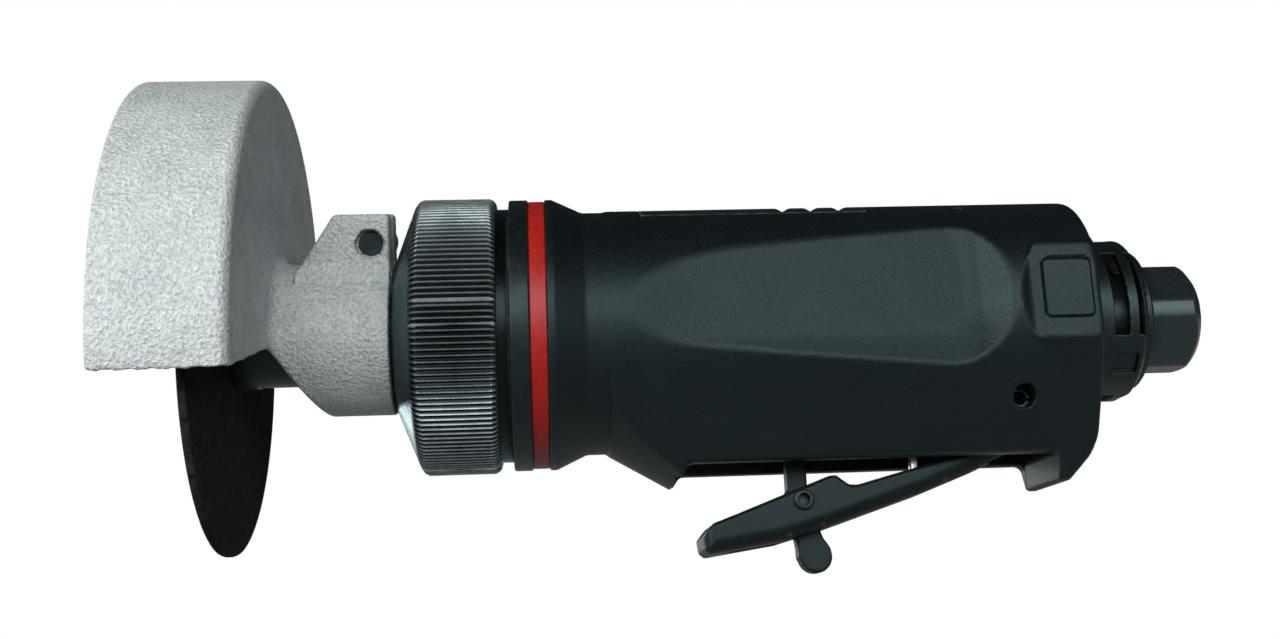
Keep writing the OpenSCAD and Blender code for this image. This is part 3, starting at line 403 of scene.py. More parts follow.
def make_rub_and_highlight_group():
    """Lighter edges in broken patches: worn edges on most pieces, a painted highlight on the nut's rib
    crests.
    """
    group = bpy.data.node_groups.new("Edge rub and highlight", "ShaderNodeTree")
    socket(group, "Color", "NodeSocketColor")
    socket(group, "Rubbed and highlight", "NodeSocketColor")
    socket(group, "Amount", "NodeSocketFloat")
    socket(group, "Patches", "NodeSocketFloat")
    socket(group, "Color", "NodeSocketColor", "OUTPUT")
    nodes, links = group.nodes, group.links
    given = nodes.new("NodeGroupInput")
    result = nodes.new("NodeGroupOutput")
    shape = nodes.new("ShaderNodeNewGeometry")
    edge = nodes.new("ShaderNodeMapRange")
    edge.inputs["From Min"].default_value = 0.52
    edge.inputs["From Max"].default_value = 0.62
    links.new(shape.outputs["Pointiness"], edge.inputs["Value"])
    place = nodes.new("ShaderNodeTexCoord")
    patch = nodes.new("ShaderNodeTexNoise")
    patch.inputs["Scale"].default_value = 420
    patch.inputs["Detail"].default_value = 4
    links.new(place.outputs["Object"], patch.inputs["Vector"])
    broken = nodes.new("ShaderNodeMapRange")
    broken.inputs["From Min"].default_value = 0.35
    broken.inputs["From Max"].default_value = 0.65
    links.new(patch.outputs["Fac"], broken.inputs["Value"])
    patches = nodes.new("ShaderNodeMix")
    patches.inputs[2].default_value = 1
    links.new(given.outputs["Patches"], patches.inputs["Factor"])
    links.new(broken.outputs["Result"], patches.inputs[3])
    mask = nodes.new("ShaderNodeMath")
    mask.operation = "MULTIPLY"
    links.new(edge.outputs["Result"], mask.inputs[0])
    links.new(patches.outputs[0], mask.inputs[1])
    share = nodes.new("ShaderNodeMath")
    share.operation = "MULTIPLY"
    links.new(mask.outputs[0], share.inputs[0])
    links.new(given.outputs["Amount"], share.inputs[1])
    tint = nodes.new("ShaderNodeMix")
    tint.data_type = "RGBA"
    links.new(share.outputs[0], tint.inputs["Factor"])
    links.new(given.outputs["Color"], tint.inputs[6])
    links.new(given.outputs["Rubbed and highlight"], tint.inputs[7])
    links.new(tint.outputs[2], result.inputs["Color"])
    return group


GRAIN = make_grain_group()
RUB_AND_HIGHLIGHT = make_rub_and_highlight_group()


def grained_finish(name, scale, dark, light, shine, bump=(0.2, 0.05), stretch=(1, 1, 1), metallic=0.0,
                   specular=0.5, tint=(1, 1, 1), rubbed_and_highlight=None, rub=0.5, patches=1.0):
    """A material with grain, and lighter edges where an edge colour is given: worn edges, and on the nut a
    painted highlight.

    shine is the least and most roughness, bump the strength and the depth in millimetres.
    """
    material = bpy.data.materials.new(name)
    material.use_nodes = True
    nodes, links = material.node_tree.nodes, material.node_tree.links
    shader = nodes["Principled BSDF"]
    shader.inputs["Metallic"].default_value = metallic
    shader.inputs["Specular IOR Level"].default_value = specular
    shader.inputs["Specular Tint"].default_value = (*tint, 1)
    grain = nodes.new("ShaderNodeGroup")
    grain.node_tree = GRAIN
    grain.inputs["Scale"].default_value = scale
    grain.inputs["Stretch"].default_value = stretch
    grain.inputs["Dark"].default_value = (*dark, 1)
    grain.inputs["Light"].default_value = (*light, 1)
    grain.inputs["Smooth"].default_value = shine[0]
    grain.inputs["Rough"].default_value = shine[1]
    colour = grain.outputs["Color"]
    if rubbed_and_highlight:
        wear_and_highlight = nodes.new("ShaderNodeGroup")
        wear_and_highlight.node_tree = RUB_AND_HIGHLIGHT
        wear_and_highlight.inputs["Rubbed and highlight"].default_value = (*rubbed_and_highlight, 1)
        wear_and_highlight.inputs["Amount"].default_value = rub
        wear_and_highlight.inputs["Patches"].default_value = patches
        links.new(colour, wear_and_highlight.inputs["Color"])
        colour = wear_and_highlight.outputs["Color"]
    links.new(colour, shader.inputs["Base Color"])
    links.new(grain.outputs["Roughness"], shader.inputs["Roughness"])
    relief = nodes.new("ShaderNodeBump")
    relief.inputs["Strength"].default_value = bump[0]
    relief.inputs["Distance"].default_value = bump[1] * MM
    links.new(grain.outputs["Height"], relief.inputs["Height"])
    links.new(relief.outputs["Normal"], shader.inputs["Normal"])
    return material


def dress(piece, material, body, node):
    """Gives a new piece its material, and puts it in the place of its solid."""
    piece.data.materials.append(material)
    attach(piece, body)
    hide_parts(node)


def paint(node, material):
    """Gives a solid that stays as it is its material."""
    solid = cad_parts[node]
    if not solid.material_slots:
        solid.data.materials.append(material)
    for place in solid.material_slots:
        place.material = material


COOL = (0.66, 0.95, 1.0)
composite = grained_finish(
    "composite grip", scale=2600, dark=(0.0016, 0.0024, 0.0027), light=(0.0045, 0.0062, 0.0067),
    shine=(0.36, 0.5), bump=(0.6, 0.08), specular=0.28, tint=COOL, rubbed_and_highlight=(0.03, 0.042, 0.044), rub=0.35)
housing = field_mesh("housing_shell", housing_field, (X_FRONT, -24.6, -30.5), (X_REAR, 24.6, 24.6), 0.5)
dress(housing, composite, "housing", "housing")

# Throttle valve: a brass seat bushing, a steel ball on its spring, and the stem that the lever pushes.
# The bushing is pressed into the housing's bore; the bright stem stands out of it into the lever's channel.
brass = grained_finish(
    "turned brass", scale=900, dark=(0.46, 0.33, 0.12), light=(0.62, 0.47, 0.2), shine=(0.25, 0.4),
    stretch=(1, 1, 6), metallic=1.0)
bright_steel = grained_finish(
    "polished steel", scale=1500, dark=(0.56, 0.57, 0.58), light=(0.7, 0.71, 0.72), shine=(0.16, 0.28),
    bump=(0.08, 0.02), metallic=1.0)
steel = grained_finish(
    "ground steel", scale=700, dark=(0.34, 0.35, 0.36), light=(0.47, 0.48, 0.49), shine=(0.3, 0.46),
    bump=(0.12, 0.03), stretch=(5, 1, 1), metallic=1.0)


def turned_mesh(name, outline, place, segments=128, rib=None, turn=1.0, sharp=32):
    """A turned piece: an outline of (along, radius, rib depth) swept around the axis that place() sets.

    turn is the share of a full turn, and edges over sharp degrees stay sharp.
    """
    points = []
    whole = turn >= 1.0
    count = segments if whole else segments + 1
    for k in range(count):
        angle = 2 * math.pi * turn * k / segments
        wave = rib(angle) if rib else 0.0
        for station in outline:
            depth = station[2] * wave if len(station) > 2 else 0.0
            radius = station[1] - depth
            points.append(place(station[0], radius * math.cos(angle), radius * math.sin(angle)))
    size = len(outline)
    faces = []
    for k in range(segments):
        ahead = (k + 1) % count
        for i in range(size):
            j = (i + 1) % size
            faces.append((k * size + i, k * size + j, ahead * size + j, ahead * size + i))
    if not whole:
        faces.append(tuple(range(size)))
        faces.append(tuple(segments * size + i for i in reversed(range(size))))
    piece = add_mesh(name, points, faces)
    work = bmesh.new()
    work.from_mesh(piece.data)
    bmesh.ops.remove_doubles(work, verts=work.verts, dist=1e-7)
    bmesh.ops.dissolve_degenerate(work, edges=work.edges, dist=1e-8)
    bmesh.ops.recalc_face_normals(work, faces=work.faces)
    work.to_mesh(piece.data)
    work.free()
    piece.data.shade_smooth()
    piece.data.set_sharp_from_angle(angle=math.radians(sharp))
    return piece


def upright_at(x, y):
    """Places a turned piece on an upright axis."""
    return lambda along, side, up: (x + side, y + up, along)


stem_low, stem_high = [corner.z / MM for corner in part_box("valve_stem")]
stem_outline = rounded_outline([
    (stem_low, 0, 0), (stem_low, 1.15, 0.9), (stem_high, 1.15, 0.2), (stem_high, 0, 0)])
stem = turned_mesh("valve_stem_rod", stem_outline, upright_at(X_VALVE, 0), 48)
dress(stem, bright_steel, "valve", "valve_stem")
paint("valve_bushing", brass)
paint("valve_ball", bright_steel)


def coil_mesh(name, axis_x, coil_r, wire_r, low, high, turns, steps=32, sides=8):
    """A wire coil around an upright axis, closed at both wire ends."""
    points = []
    count = turns * steps + 1
    for k in range(count):
        angle = 2 * math.pi * k / steps
        middle = low + wire_r + (high - low - 2 * wire_r) * k / (count - 1)
        for n in range(sides):
            around = 2 * math.pi * n / sides
            radius = coil_r + wire_r * math.cos(around)
            height = middle + wire_r * math.sin(around)
            points.append((axis_x + radius * math.cos(angle), radius * math.sin(angle), height))
    faces = [tuple(range(sides)), tuple((count - 1) * sides + n for n in reversed(range(sides)))]
    for k in range(count - 1):
        for n in range(sides):
            ahead = (n + 1) % sides
            faces.append((k * sides + ahead, k * sides + n, (k + 1) * sides + n, (k + 1) * sides + ahead))
    return add_mesh(name, points, faces)


SPRING_WIRE = 0.7
SPRING_TURNS = 6
spring_low, spring_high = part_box("valve_spring")
spring_r = (spring_high.y - spring_low.y) / MM / 2 - SPRING_WIRE / 2
valve_spring = coil_mesh("valve_coil", X_VALVE, spring_r, SPRING_WIRE / 2, spring_low.z / MM,
                         spring_high.z / MM, SPRING_TURNS)
dress(valve_spring, steel, "housing", "valve_spring")
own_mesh(valve_spring)

# Air motor: cylinder, two end plates, two ball bearings and a slotted rotor with five loose vanes.
# Ground steel throughout, with laminated resin vanes; the clamp nut presses the stack into the housing.
vane_resin = grained_finish(
    "laminated resin", scale=1100, dark=(0.1, 0.06, 0.028), light=(0.2, 0.13, 0.07), shine=(0.5, 0.68),
    bump=(0.2, 0.05), stretch=(0.15, 1, 4))
for node in ("motor_cylinder", "front_end_plate", "rear_end_plate", "rotor"):
    paint(node, steel)
for node in ("front_bearing_outer", "front_bearing_inner", "front_bearing_balls", "rear_bearing_outer",
             "rear_bearing_inner", "rear_bearing_balls", "locating_pin"):
    paint(node, bright_steel)
paint("rotor_vanes", vane_resin)

# Red ring and black ring: two plain rings, slid over the nut's skirt in front of the housing.
# The red one is semi-gloss moulded plastic, the black one steel with a satin oxide.
black_metal = grained_finish(
    "black oxide", scale=1300, dark=(0.0025, 0.0036, 0.0038), light=(0.006, 0.008, 0.0084),
    shine=(0.3, 0.45), bump=(0.1, 0.03), specular=0.3, tint=COOL, rubbed_and_highlight=(0.1, 0.125, 0.13), rub=0.5)
red_plastic = grained_finish(
    "red plastic", scale=1200, dark=(0.27, 0.007, 0.004), light=(0.36, 0.013, 0.008), shine=(0.34, 0.46),
    bump=(0.08, 0.03), specular=0.32)


def along_spindle(along, side, up):
    """Places a turned piece on the spindle's axis."""
    return (along, side, up)


def ring_outline(x0, x1, outer, inner, edge):
    """Half section of a plain ring with rounded outer edges."""
    return rounded_outline([(x0, inner, 0.1), (x0, outer, edge), (x1, outer, edge), (x1, inner, 0.1)], 4)


RING_JOINT_X = -121.9
RING_FRONT_X = -125.3
red_outline = ring_outline(RING_JOINT_X, X_FRONT, 24.2, NUT_BORE_R, 0.25)
red_ring = turned_mesh("red_band", red_outline, along_spindle, 192)
dress(red_ring, red_plastic, "housing", "red_ring")
black_outline = ring_outline(RING_FRONT_X, RING_JOINT_X, 24.5, NUT_BORE_R, 0.35)
front_ring = turned_mesh("black_band", black_outline, along_spindle, 192)
dress(front_ring, black_metal, "housing", "front_ring")

# Clamp nut: screws into the housing and holds the motor; its nose carries the guard.
# Turned steel with straight ribs rolled around its grip, then black oxide.
RIBS = 148


def rib_wave(angle):
    """Depth of the ribs around the nut: 0 on a crest, 1 in a groove."""
    return (0.5 - 0.5 * math.cos(RIBS * angle)) ** 0.7


nut_outline = [
    (-159.7, 6.0), (-159.7, 10.1), (-159.4, 10.4), (-145.7, 10.4), (-145.7, 13.8), (-145.5, 14.1),
    (-142.3, 22.2), (-141.7, 23.7, 0.1), (-141.1, 24.5, 0.35), (-140.4, 24.85, 0.5), (-134.5, 24.85, 0.5),
    (-128.7, 24.85, 0.5), (-128.0, 24.5, 0.35), (-127.6, 24.0, 0.05), (-127.5, 23.6), (-127.5, 23.0),
    (-127.3, 22.9), (-125.5, 22.9), (-125.3, 22.8), (-125.3, 20.5), (-115.5, 20.5), (-115.5, 17.0),
    (-138.6, 17.0), (-138.6, 6.0)]
clamp_nut = turned_mesh("ribbed_nut", nut_outline, along_spindle, RIBS * 6, rib_wave, sharp=40)
# The nut's edge colour paints a highlight along every rib crest, all round the nut.
rolled_ribs = grained_finish(
    "rolled ribs", scale=1300, dark=(0.002, 0.0028, 0.003), light=(0.006, 0.008, 0.0084),
    shine=(0.22, 0.34), bump=(0.1, 0.03), metallic=0.55, specular=0.34, tint=COOL,
    rubbed_and_highlight=(0.5, 0.57, 0.6), rub=0.9, patches=0.3)
dress(clamp_nut, rolled_ribs, "housing", "clamp_nut")

# Guard: a half hood cast in one with its neck and pinch lug, left as cast with a pebbled skin.
# The neck slides over the nut's nose and the screw across the lug pinches it tight.
GUARD_TURN = math.radians(17)
HOOD_R = 46.3
HOOD_BACK = -166.2
HOOD_FRONT = -187.2
HOLLOW_R = 43.5
HOLLOW_BACK = -169.0
NECK_R = 13.75
NECK_BORE_R = 10.45
NECK_X = (-168.0, -146.2)
LUG_HALF = 7.0
LEDGE_HALF = 8.6
LEDGE_UP = 13.9
LEDGE_LEAN = (0.83, 0.55)
PINCH_SLOT_X = (-163.6, -140)
PINCH_SLOT_HALF = 0.8
CLAMP_X = -149.6
CLAMP_UP = 17.3
CLAMP_R = 2.0
CLAMP_HEAD_R = 2.5
CLAMP_HEAD_SEAT = -5.2
LUG_SIDE = rounded_outline([
    (-146.2, 8, 0), (-146.2, 22.5, 0.8), (-155.8, 22.5, 1.2), (-162.6, 12.25, 1.5), (-162.6, 8, 0)])
UNDERCUT = [(-157.6, -16), (-157.6, -13.75), (-166.7, 0), (-172, 0), (-172, -16)]


def guard_field(x, y, z):
    """The casting: hood, neck and pinch lug, turned around the spindle."""
    side = y * math.cos(GUARD_TURN) + z * math.sin(GUARD_TURN)
    up = -y * math.sin(GUARD_TURN) + z * math.cos(GUARD_TURN)
    radius = np.hypot(y, z)
    shell = rounded_and(radius - HOOD_R, x - HOOD_BACK, 1.8)
    shell = cut(shell, rounded_and(radius - HOLLOW_R, x - HOLLOW_BACK, 1.2))
    # The cast rim is left a little uneven.
    rag = 0.1 * np.sin(x * 1.9 + side * 0.7) + 0.07 * np.sin(x * 4.3 - side * 1.9)
    shell = rounded_and(shell, rag - up, 0.5)
    shell = rounded_and(shell, HOOD_FRONT - x, 0.5)
    neck = rounded_and(radius - NECK_R, slab(x, *NECK_X), 0.4)
    guard = rounded_or(shell, neck, 2.4)
    reach = np.abs(side)
    lug_side = outline_field(x, up, LUG_SIDE)
    lug = rounded_and(reach - LUG_HALF, lug_side, 0.7)
    guard = rounded_or(guard, lug, 0.9)
    ledge = (reach - LUG_HALF) * LEDGE_LEAN[0] + (up - LEDGE_UP) * LEDGE_LEAN[1]
    ledge = rounded_and(ledge, np.maximum(lug_side, reach - LEDGE_HALF), 0.3)
    guard = np.minimum(guard, np.maximum(ledge, 4 - up))
    guard = cut(guard, radius - NECK_BORE_R)
    guard = cut(guard, outline_field(x, up, UNDERCUT), 0.5)
    slot = np.maximum(np.maximum(reach - PINCH_SLOT_HALF, slab(x, *PINCH_SLOT_X)), -up)
    guard = cut(guard, slot, 0.2)
    hole = np.hypot(x - CLAMP_X, up - CLAMP_UP)
    guard = cut(guard, np.maximum(hole - CLAMP_HEAD_R, side - CLAMP_HEAD_SEAT), 0.2)
    return cut(guard, hole - CLAMP_R)


cast_aluminium = grained_finish(
    "cast aluminium", scale=1700, dark=(0.36, 0.395, 0.4), light=(0.7, 0.74, 0.745), shine=(0.42, 0.6),
    bump=(1.0, 0.5), metallic=0.3, specular=0.08, rubbed_and_highlight=(0.75, 0.79, 0.795), rub=0.3)
guard = field_mesh("guard_casting", guard_field, (HOOD_FRONT, -HOOD_R, -HOOD_R),
                   (NECK_X[1], HOOD_R, HOOD_R), 0.55)
dress(guard, cast_aluminium, "guard", "guard")
paint("clamp_screw", black_metal)

# Cutting wheel: thin bonded abrasive with glass-cloth reinforcement and a coarse rim.
# It sits on the inner flange's spigot and is held by the outer flange and the wheel screw.
wheel_outline = [
    (-176.2, 4.8), (-176.2, 12.0), (-176.2, 24.0), (-176.2, 36.0), (-176.15, 37.5), (-176.0, 37.9),
    (-175.7, 38.0), (-175.1, 38.0), (-174.8, 37.9), (-174.65, 37.5), (-174.6, 36.0), (-174.6, 24.0),
    (-174.6, 12.0), (-174.6, 4.8)]
# The light speckles in its colour are partly the grains' own tone and partly painted glints of the grains.
abrasive = grained_finish(
    "bonded abrasive", scale=700, dark=(0.0003, 0.0003, 0.0004), light=(0.036, 0.038, 0.04),
    shine=(0.7, 0.95), bump=(0.8, 0.25), specular=0.03, rubbed_and_highlight=(0.1, 0.1, 0.1), rub=0.6)
wheel = turned_mesh("abrasive_disc", wheel_outline, along_spindle, 180)
dress(wheel, abrasive, "spindle", "cutting_wheel")
flange_front, flange_rear = [corner.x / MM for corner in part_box("inner_flange")]
flange_outline = rounded_outline([
    (flange_front, 2.45, 0.1), (flange_front, 4.6, 0.3), (-174.6, 4.6, 0.1), (-174.6, 8.5, 0.3),
    (-170.3, 8.5, 0.1), (-170.3, 8.3, 0.1), (flange_rear, 8.3, 0.3), (flange_rear, 4.0, 0.1),
    (-174.0, 4.0, 0.1), (-174.0, 2.45, 0.1)], 4)
inner_flange = turned_mesh("wheel_flange", flange_outline, along_spindle, 96)
dress(inner_flange, black_metal, "spindle", "inner_flange")
dark_steel = grained_finish(
    "dark satin steel", scale=900, dark=(0.05, 0.054, 0.057), light=(0.09, 0.095, 0.1),
    shine=(0.28, 0.42), bump=(0.12, 0.03), rubbed_and_highlight=(0.35, 0.36, 0.37), rub=0.5, metallic=0.6)
for node in ("outer_flange", "wheel_screw"):
    paint(node, dark_steel)

# Air inlet: a hexagon bushing screwed into the housing, with a seal, a dirt screen and a lock screw.
# Milled from steel bar and blackened; the threaded hole takes the hose fitting.
HEX_HALF = 9.5
HEX_CORNER_R = 10.1
HEX_FRONT = -9.8
HEX_CHAMFER_R = 8.2
HEX_CHAMFER_LEAN = (0.67, 0.74)
SHANK_REAR = -9.0
THREAD_R = 5.6
THREAD_END = -12.0
PASSAGE_R = 4.0
SEAL_X = -27.0
SEAL_R = 0.9
LOCK_SEAT = 8.3


def inlet_field(x, y, z):
    """Hexagon head and shank, with the threaded hole, the passage and the seal's groove."""
    radius = np.hypot(y, z)
    flats = np.maximum(np.abs(z), np.abs(y) * math.cos(math.pi / 6) + np.abs(z) * 0.5) - HEX_HALF
    chamfer = (radius - HEX_CHAMFER_R) * HEX_CHAMFER_LEAN[0] + x * HEX_CHAMFER_LEAN[1]
    head = rounded_and(rounded_and(flats, radius - HEX_CORNER_R, 0.2), slab(x, HEX_FRONT, 0), 0.2)
    head = rounded_and(head, chamfer, 0.2)
    shank = np.maximum(radius - INLET_BORE_R, slab(x, INLET_BORE_END, SHANK_REAR))
    body = np.minimum(head, shank)
    body = cut(body, np.maximum(radius - THREAD_R, THREAD_END - x), 0.3)
    body = cut(body, radius - PASSAGE_R)
    body = cut(body, np.hypot(x - SEAL_X, radius - INLET_BORE_R) - SEAL_R)
    lock = np.hypot(x - LOCK_X, y * math.cos(LOCK_TURN) + z * math.sin(LOCK_TURN)) - LOCK_R
    depth = LOCK_SEAT - (z * math.cos(LOCK_TURN) - y * math.sin(LOCK_TURN))
    return cut(body, np.maximum(lock, depth))


inlet = field_mesh("inlet_hexagon", inlet_field, (INLET_BORE_END, -10.5, -10.5), (0.0, 10.5, 10.5), 0.4)
blackened = grained_finish(
    "blackened steel", scale=1300, dark=(0.008, 0.0105, 0.011), light=(0.015, 0.019, 0.02),
    shine=(0.26, 0.38), bump=(0.1, 0.03), specular=0.5, tint=COOL, rubbed_and_highlight=(0.12, 0.15, 0.155), rub=0.5)
dress(inlet, blackened, "housing", "inlet_bushing")
rubber = grained_finish(
    "rubber seal", scale=1800, dark=(0.009, 0.009, 0.009), light=(0.016, 0.016, 0.016), shine=(0.6, 0.8),
    bump=(0.2, 0.05), specular=0.3)
paint("inlet_seal", rubber)
paint("inlet_screen", brass)
paint("lock_screw", dark_steel)

# Exhaust deflector: a stepped ring that turns on the inlet's shank and aims the exhaust air.
# Moulded in black plastic, with pairs of slots that leave a thin rib between them.
DEFLECTOR_TURNING = rounded_outline([
    (-22.9, 13.5, 0.1), (-22.9, 15.0, 0.5), (-13.4, 15.0, 0.6), (-12.6, 14.0, 0.3), (-12.1, 13.0, 0.1),
    (-11.1, 13.0, 0.3), (-10.5, 11.9, 0.3), (-9.9, 10.1, 0.2), (-9.9, 8.85, 0.1), (-11.1, 8.85, 0.1),
    (-11.1, 9.8, 0.1), (-12.1, 11.5, 0.1), (-13.4, 13.5, 0.1)], 4)
WINDOW_TURN = 259.5
WINDOW_HALF = 32.5
WINDOW_FLOOR = 10.6
WINDOW_FRONT_X = (-18.8, -16.2)
WINDOW_REAR_X = (-14.35, -13.25)
POCKET_TURN = 53.6
POCKET_HALF = 7.6
POCKET_FLOOR = 14.2
POCKET_X = (-18.7, -14.2)


def sector_gap(turn, half, radius):
    """Distance along a ring to three equal sectors, each half degrees to both sides of its middle."""
    return (np.abs((turn + 60) % 120 - 60) - half) * math.pi / 180 * radius


def deflector_field(x, y, z):
    """The stepped ring with its exhaust windows and the pockets beside them."""
    radius = np.hypot(y, z)
    body = outline_field(x, radius, DEFLECTOR_TURNING)
    turn = np.degrees(np.arctan2(y, -z)) - WINDOW_TURN
    slots = np.minimum(slab(x, *WINDOW_FRONT_X), slab(x, *WINDOW_REAR_X))
    window = np.maximum(np.maximum(sector_gap(turn, WINDOW_HALF, radius), slots), WINDOW_FLOOR - radius)
    body = cut(body, window, 0.12)
    beside = sector_gap(turn - POCKET_TURN, POCKET_HALF, radius)
    pocket = np.maximum(np.maximum(beside, slab(x, *POCKET_X)), POCKET_FLOOR - radius)
    return cut(body, pocket, 0.15)


black_plastic = grained_finish(
    "black plastic", scale=1700, dark=(0.0025, 0.0036, 0.0038), light=(0.006, 0.008, 0.0084),
    shine=(0.32, 0.46), bump=(0.12, 0.04), specular=0.36, tint=COOL, rubbed_and_highlight=(0.03, 0.042, 0.044), rub=0.4)
deflector = field_mesh("deflector_ring", deflector_field, (-22.9, -15.0, -15.0), (-9.9, 15.0, 15.0), 0.35)
dress(deflector, black_plastic, "deflector", "exhaust_deflector")

# Throttle lever: a U-shaped steel pressing with a raised front and ears that hang on the pivot pin.
# Black oxide, rubbed bright along the edges that the hand and the latch touch.
LATCH_PIN = (-75.1, -32.1)
LEVER_SIDE = rounded_outline([
    (-91.1, -35.6, 1.2), (-93.0, -37.9, 0.8), (-92.7, -40.1, 1.0), (-91.7, -40.9, 0.8), (-79.1, -39.1, 5),
    (-70.5, -36.8, 6), (-53.2, -31.3, 8), (-44.5, -28.1, 8), (-38.1, -25.3, 2), (-33.5, -17.3, 1.5),
    (-33.5, -12.7, 3.2), (-40.7, -12.7, 3.2), (-42.3, -21.3, 2), (-45.1, -24.5, 2), (-65.3, -29.7, 2),
    (-66.8, -29.6, 0.8), (-68.0, -28.7, 0.6), (-69.0, -27.9, 0.6), (-70.3, -28.0, 1.2), (-87.1, -34.2, 6)])
LEVER_UNDER = [
    (-93.0, 0), (-93.0, -37.9), (-92.7, -40.1), (-91.7, -40.9), (-79.1, -39.1), (-70.5, -36.8),
    (-53.2, -31.3), (-44.5, -28.1), (-38.1, -25.3), (-33.5, -17.3), (-33.5, 0)]
LEVER_HOLLOW = [
    (-91.1, 0), (-91.1, -39.0), (-79.1, -37.3), (-70.5, -35.0), (-53.2, -29.5), (-44.5, -26.3),
    (-30, -26.3), (-30, 0)]
LEVER_HALF = 7.4
LEVER_INNER_HALF = 5.6
EAR_HOLE_R = 2.0
RIVET_HOLE_R = 1.4
LATCH_SLOT_X = (-87.9, -64.1)
LATCH_SLOT_HALF = 2.3
LATCH_SLOT_Z = (-44.1, -32.1)


def lever_field(x, y, z):
    """The pressing: a U section that follows the lever's side outline."""
    reach = np.abs(y)
    side = outline_field(x, z, LEVER_SIDE)
    bend = rounded_and(outline_field(x, z, LEVER_UNDER), reach - LEVER_HALF, 2.6)
    lever = np.maximum(rounded_and(side, reach - LEVER_HALF, 0.8), bend)
    lever = cut(lever, np.maximum(outline_field(x, z, LEVER_HOLLOW), reach - LEVER_INNER_HALF), 0.25)
    lever = cut(lever, np.hypot(x - PIVOT[0], z - PIVOT[1]) - EAR_HOLE_R)
    lever = cut(lever, np.hypot(x - LATCH_PIN[0], z - LATCH_PIN[1]) - RIVET_HOLE_R)
    opening = np.maximum(slab(x, *LATCH_SLOT_X), reach - LATCH_SLOT_HALF)
    return cut(lever, np.maximum(opening, slab(z, *LATCH_SLOT_Z)), 0.2)


lever_finish = grained_finish(
    "black lever", scale=1300, dark=(0.0025, 0.0036, 0.0038), light=(0.007, 0.0092, 0.0096),
    shine=(0.34, 0.48), bump=(0.12, 0.03), specular=0.2, tint=COOL, rubbed_and_highlight=(0.08, 0.1, 0.1), rub=0.45)
lever = field_mesh("lever_pressing", lever_field, (-93.0, -LEVER_HALF, -41.0),
                   (-33.5, LEVER_HALF, -12.7), 0.4)
dress(lever, lever_finish, "lever", "throttle_lever")

# Pivot pin: a slit spring pin driven through the housing's hole and the lever's ears.
# Rolled spring steel, sunk a little below the grip's surface at both ends.
PIN_BORE_R = 1.15


def across_at(x, z):
    """Places a turned piece on an axis across the tool."""
    return lambda along, side, up: (x + side, along, z + up)


pin_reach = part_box("lever_pin")[1].y / MM
pin_outline = rounded_outline([
    (-pin_reach, PIN_BORE_R, 0.15), (-pin_reach, PIN_R, 0.35), (pin_reach, PIN_R, 0.35),
    (pin_reach, PIN_BORE_R, 0.15)], 4)
lever_pin = turned_mesh("slit_pin", pin_outline, across_at(*PIVOT), 40, turn=0.93)
dress(lever_pin, black_metal, "housing", "lever_pin")

# Safety latch: a small lock that keeps the lever from closing until it is tipped.
# A flat steel piece on a hollow rivet through the lever's walls, with a coil spring beside it.
LATCH_ARM = rounded_outline([
    (-76.9, -32.1, 0), (-73.3, -32.1, 0), (-73.3, -22.7, 1.7), (-76.9, -22.7, 1.7)])
LATCH_TAB = rounded_outline([
    (-76.9, -32.1, 0), (-75.4, -41.6, 0), (-72.0, -42.6, 0), (-70.2, -40.4, 0), (-73.3, -32.1, 0)])
LATCH_HALF = 1.9
LATCH_HUB_R = 2.6
LATCH_BORE_R = 1.45
TAB_X = -72.5
TAB_Z = -41.6
TAB_R = 2.9


def latch_field(x, y, z):
    """The arm above the rivet and the finger tab below it."""
    hub = np.hypot(x - LATCH_PIN[0], z - LATCH_PIN[1])
    side = rounded_or(hub - LATCH_HUB_R, outline_field(x, z, LATCH_ARM), 0.6)
    tab = rounded_or(outline_field(x, z, LATCH_TAB), np.hypot(x - TAB_X, z - TAB_Z) - TAB_R, 0.8)
    side = rounded_or(side, tab, 0.5)
    latch = rounded_and(side, np.abs(y) - LATCH_HALF, 0.5)
    return cut(latch, hub - LATCH_BORE_R)


latch = field_mesh("latch_lock", latch_field, (-78.5, -LATCH_HALF, -44.6), (-69.0, LATCH_HALF, -22.6), 0.28)
dress(latch, lever_finish, "latch", "safety_latch")
rivet_outline = rounded_outline([
    (-8.1, 1.0, 0.2), (-8.1, 1.8, 0.4), (-7.4, 1.8, 0.1), (-7.4, 1.4, 0), (7.4, 1.4, 0), (7.4, 1.8, 0.1),
    (8.1, 1.8, 0.4), (8.1, 1.0, 0.2), (6.4, 1.0, 0), (6.4, 0, 0), (-6.4, 0, 0), (-6.4, 1.0, 0)], 4)
latch_pin = turned_mesh("latch_rivet", rivet_outline, across_at(*LATCH_PIN), 48)
dress(latch_pin, black_metal, "lever", "latch_pin")
paint("latch_spring", steel)

# Top plate: a thin aluminium plate let into a seat in the top of the grip, with a dark satin face.
# It is bent to the grip's round and glued in, with three grip notches cut across its rear.
# Only its cut edges show bright.
NOTCHES = (-75.5, -70.3, -65.1)
NOTCH_DEPTH = 0.75
NOTCH_HALF = 11.4
NOTCH_FLANK = 0.556
NOTCH_SCALE = 0.874


def plate_field(x, y, z):
    """A bent plate with three notches across it."""
    radius = np.hypot(y, z)
    outline = rounded_and(slab(x, *SEAT_X), np.abs(y) - SEAT_HALF, 0.8)
    plate = rounded_and(np.maximum(outline, -z), slab(radius, SEAT_R, GRIP_R), 0.12)
    nearest = np.minimum.reduce([np.abs(x - middle) for middle in NOTCHES])
    notch = (GRIP_R - NOTCH_DEPTH + nearest * NOTCH_FLANK - radius) * NOTCH_SCALE
    return cut(plate, np.maximum(notch, np.abs(y) - NOTCH_HALF), 0.1)


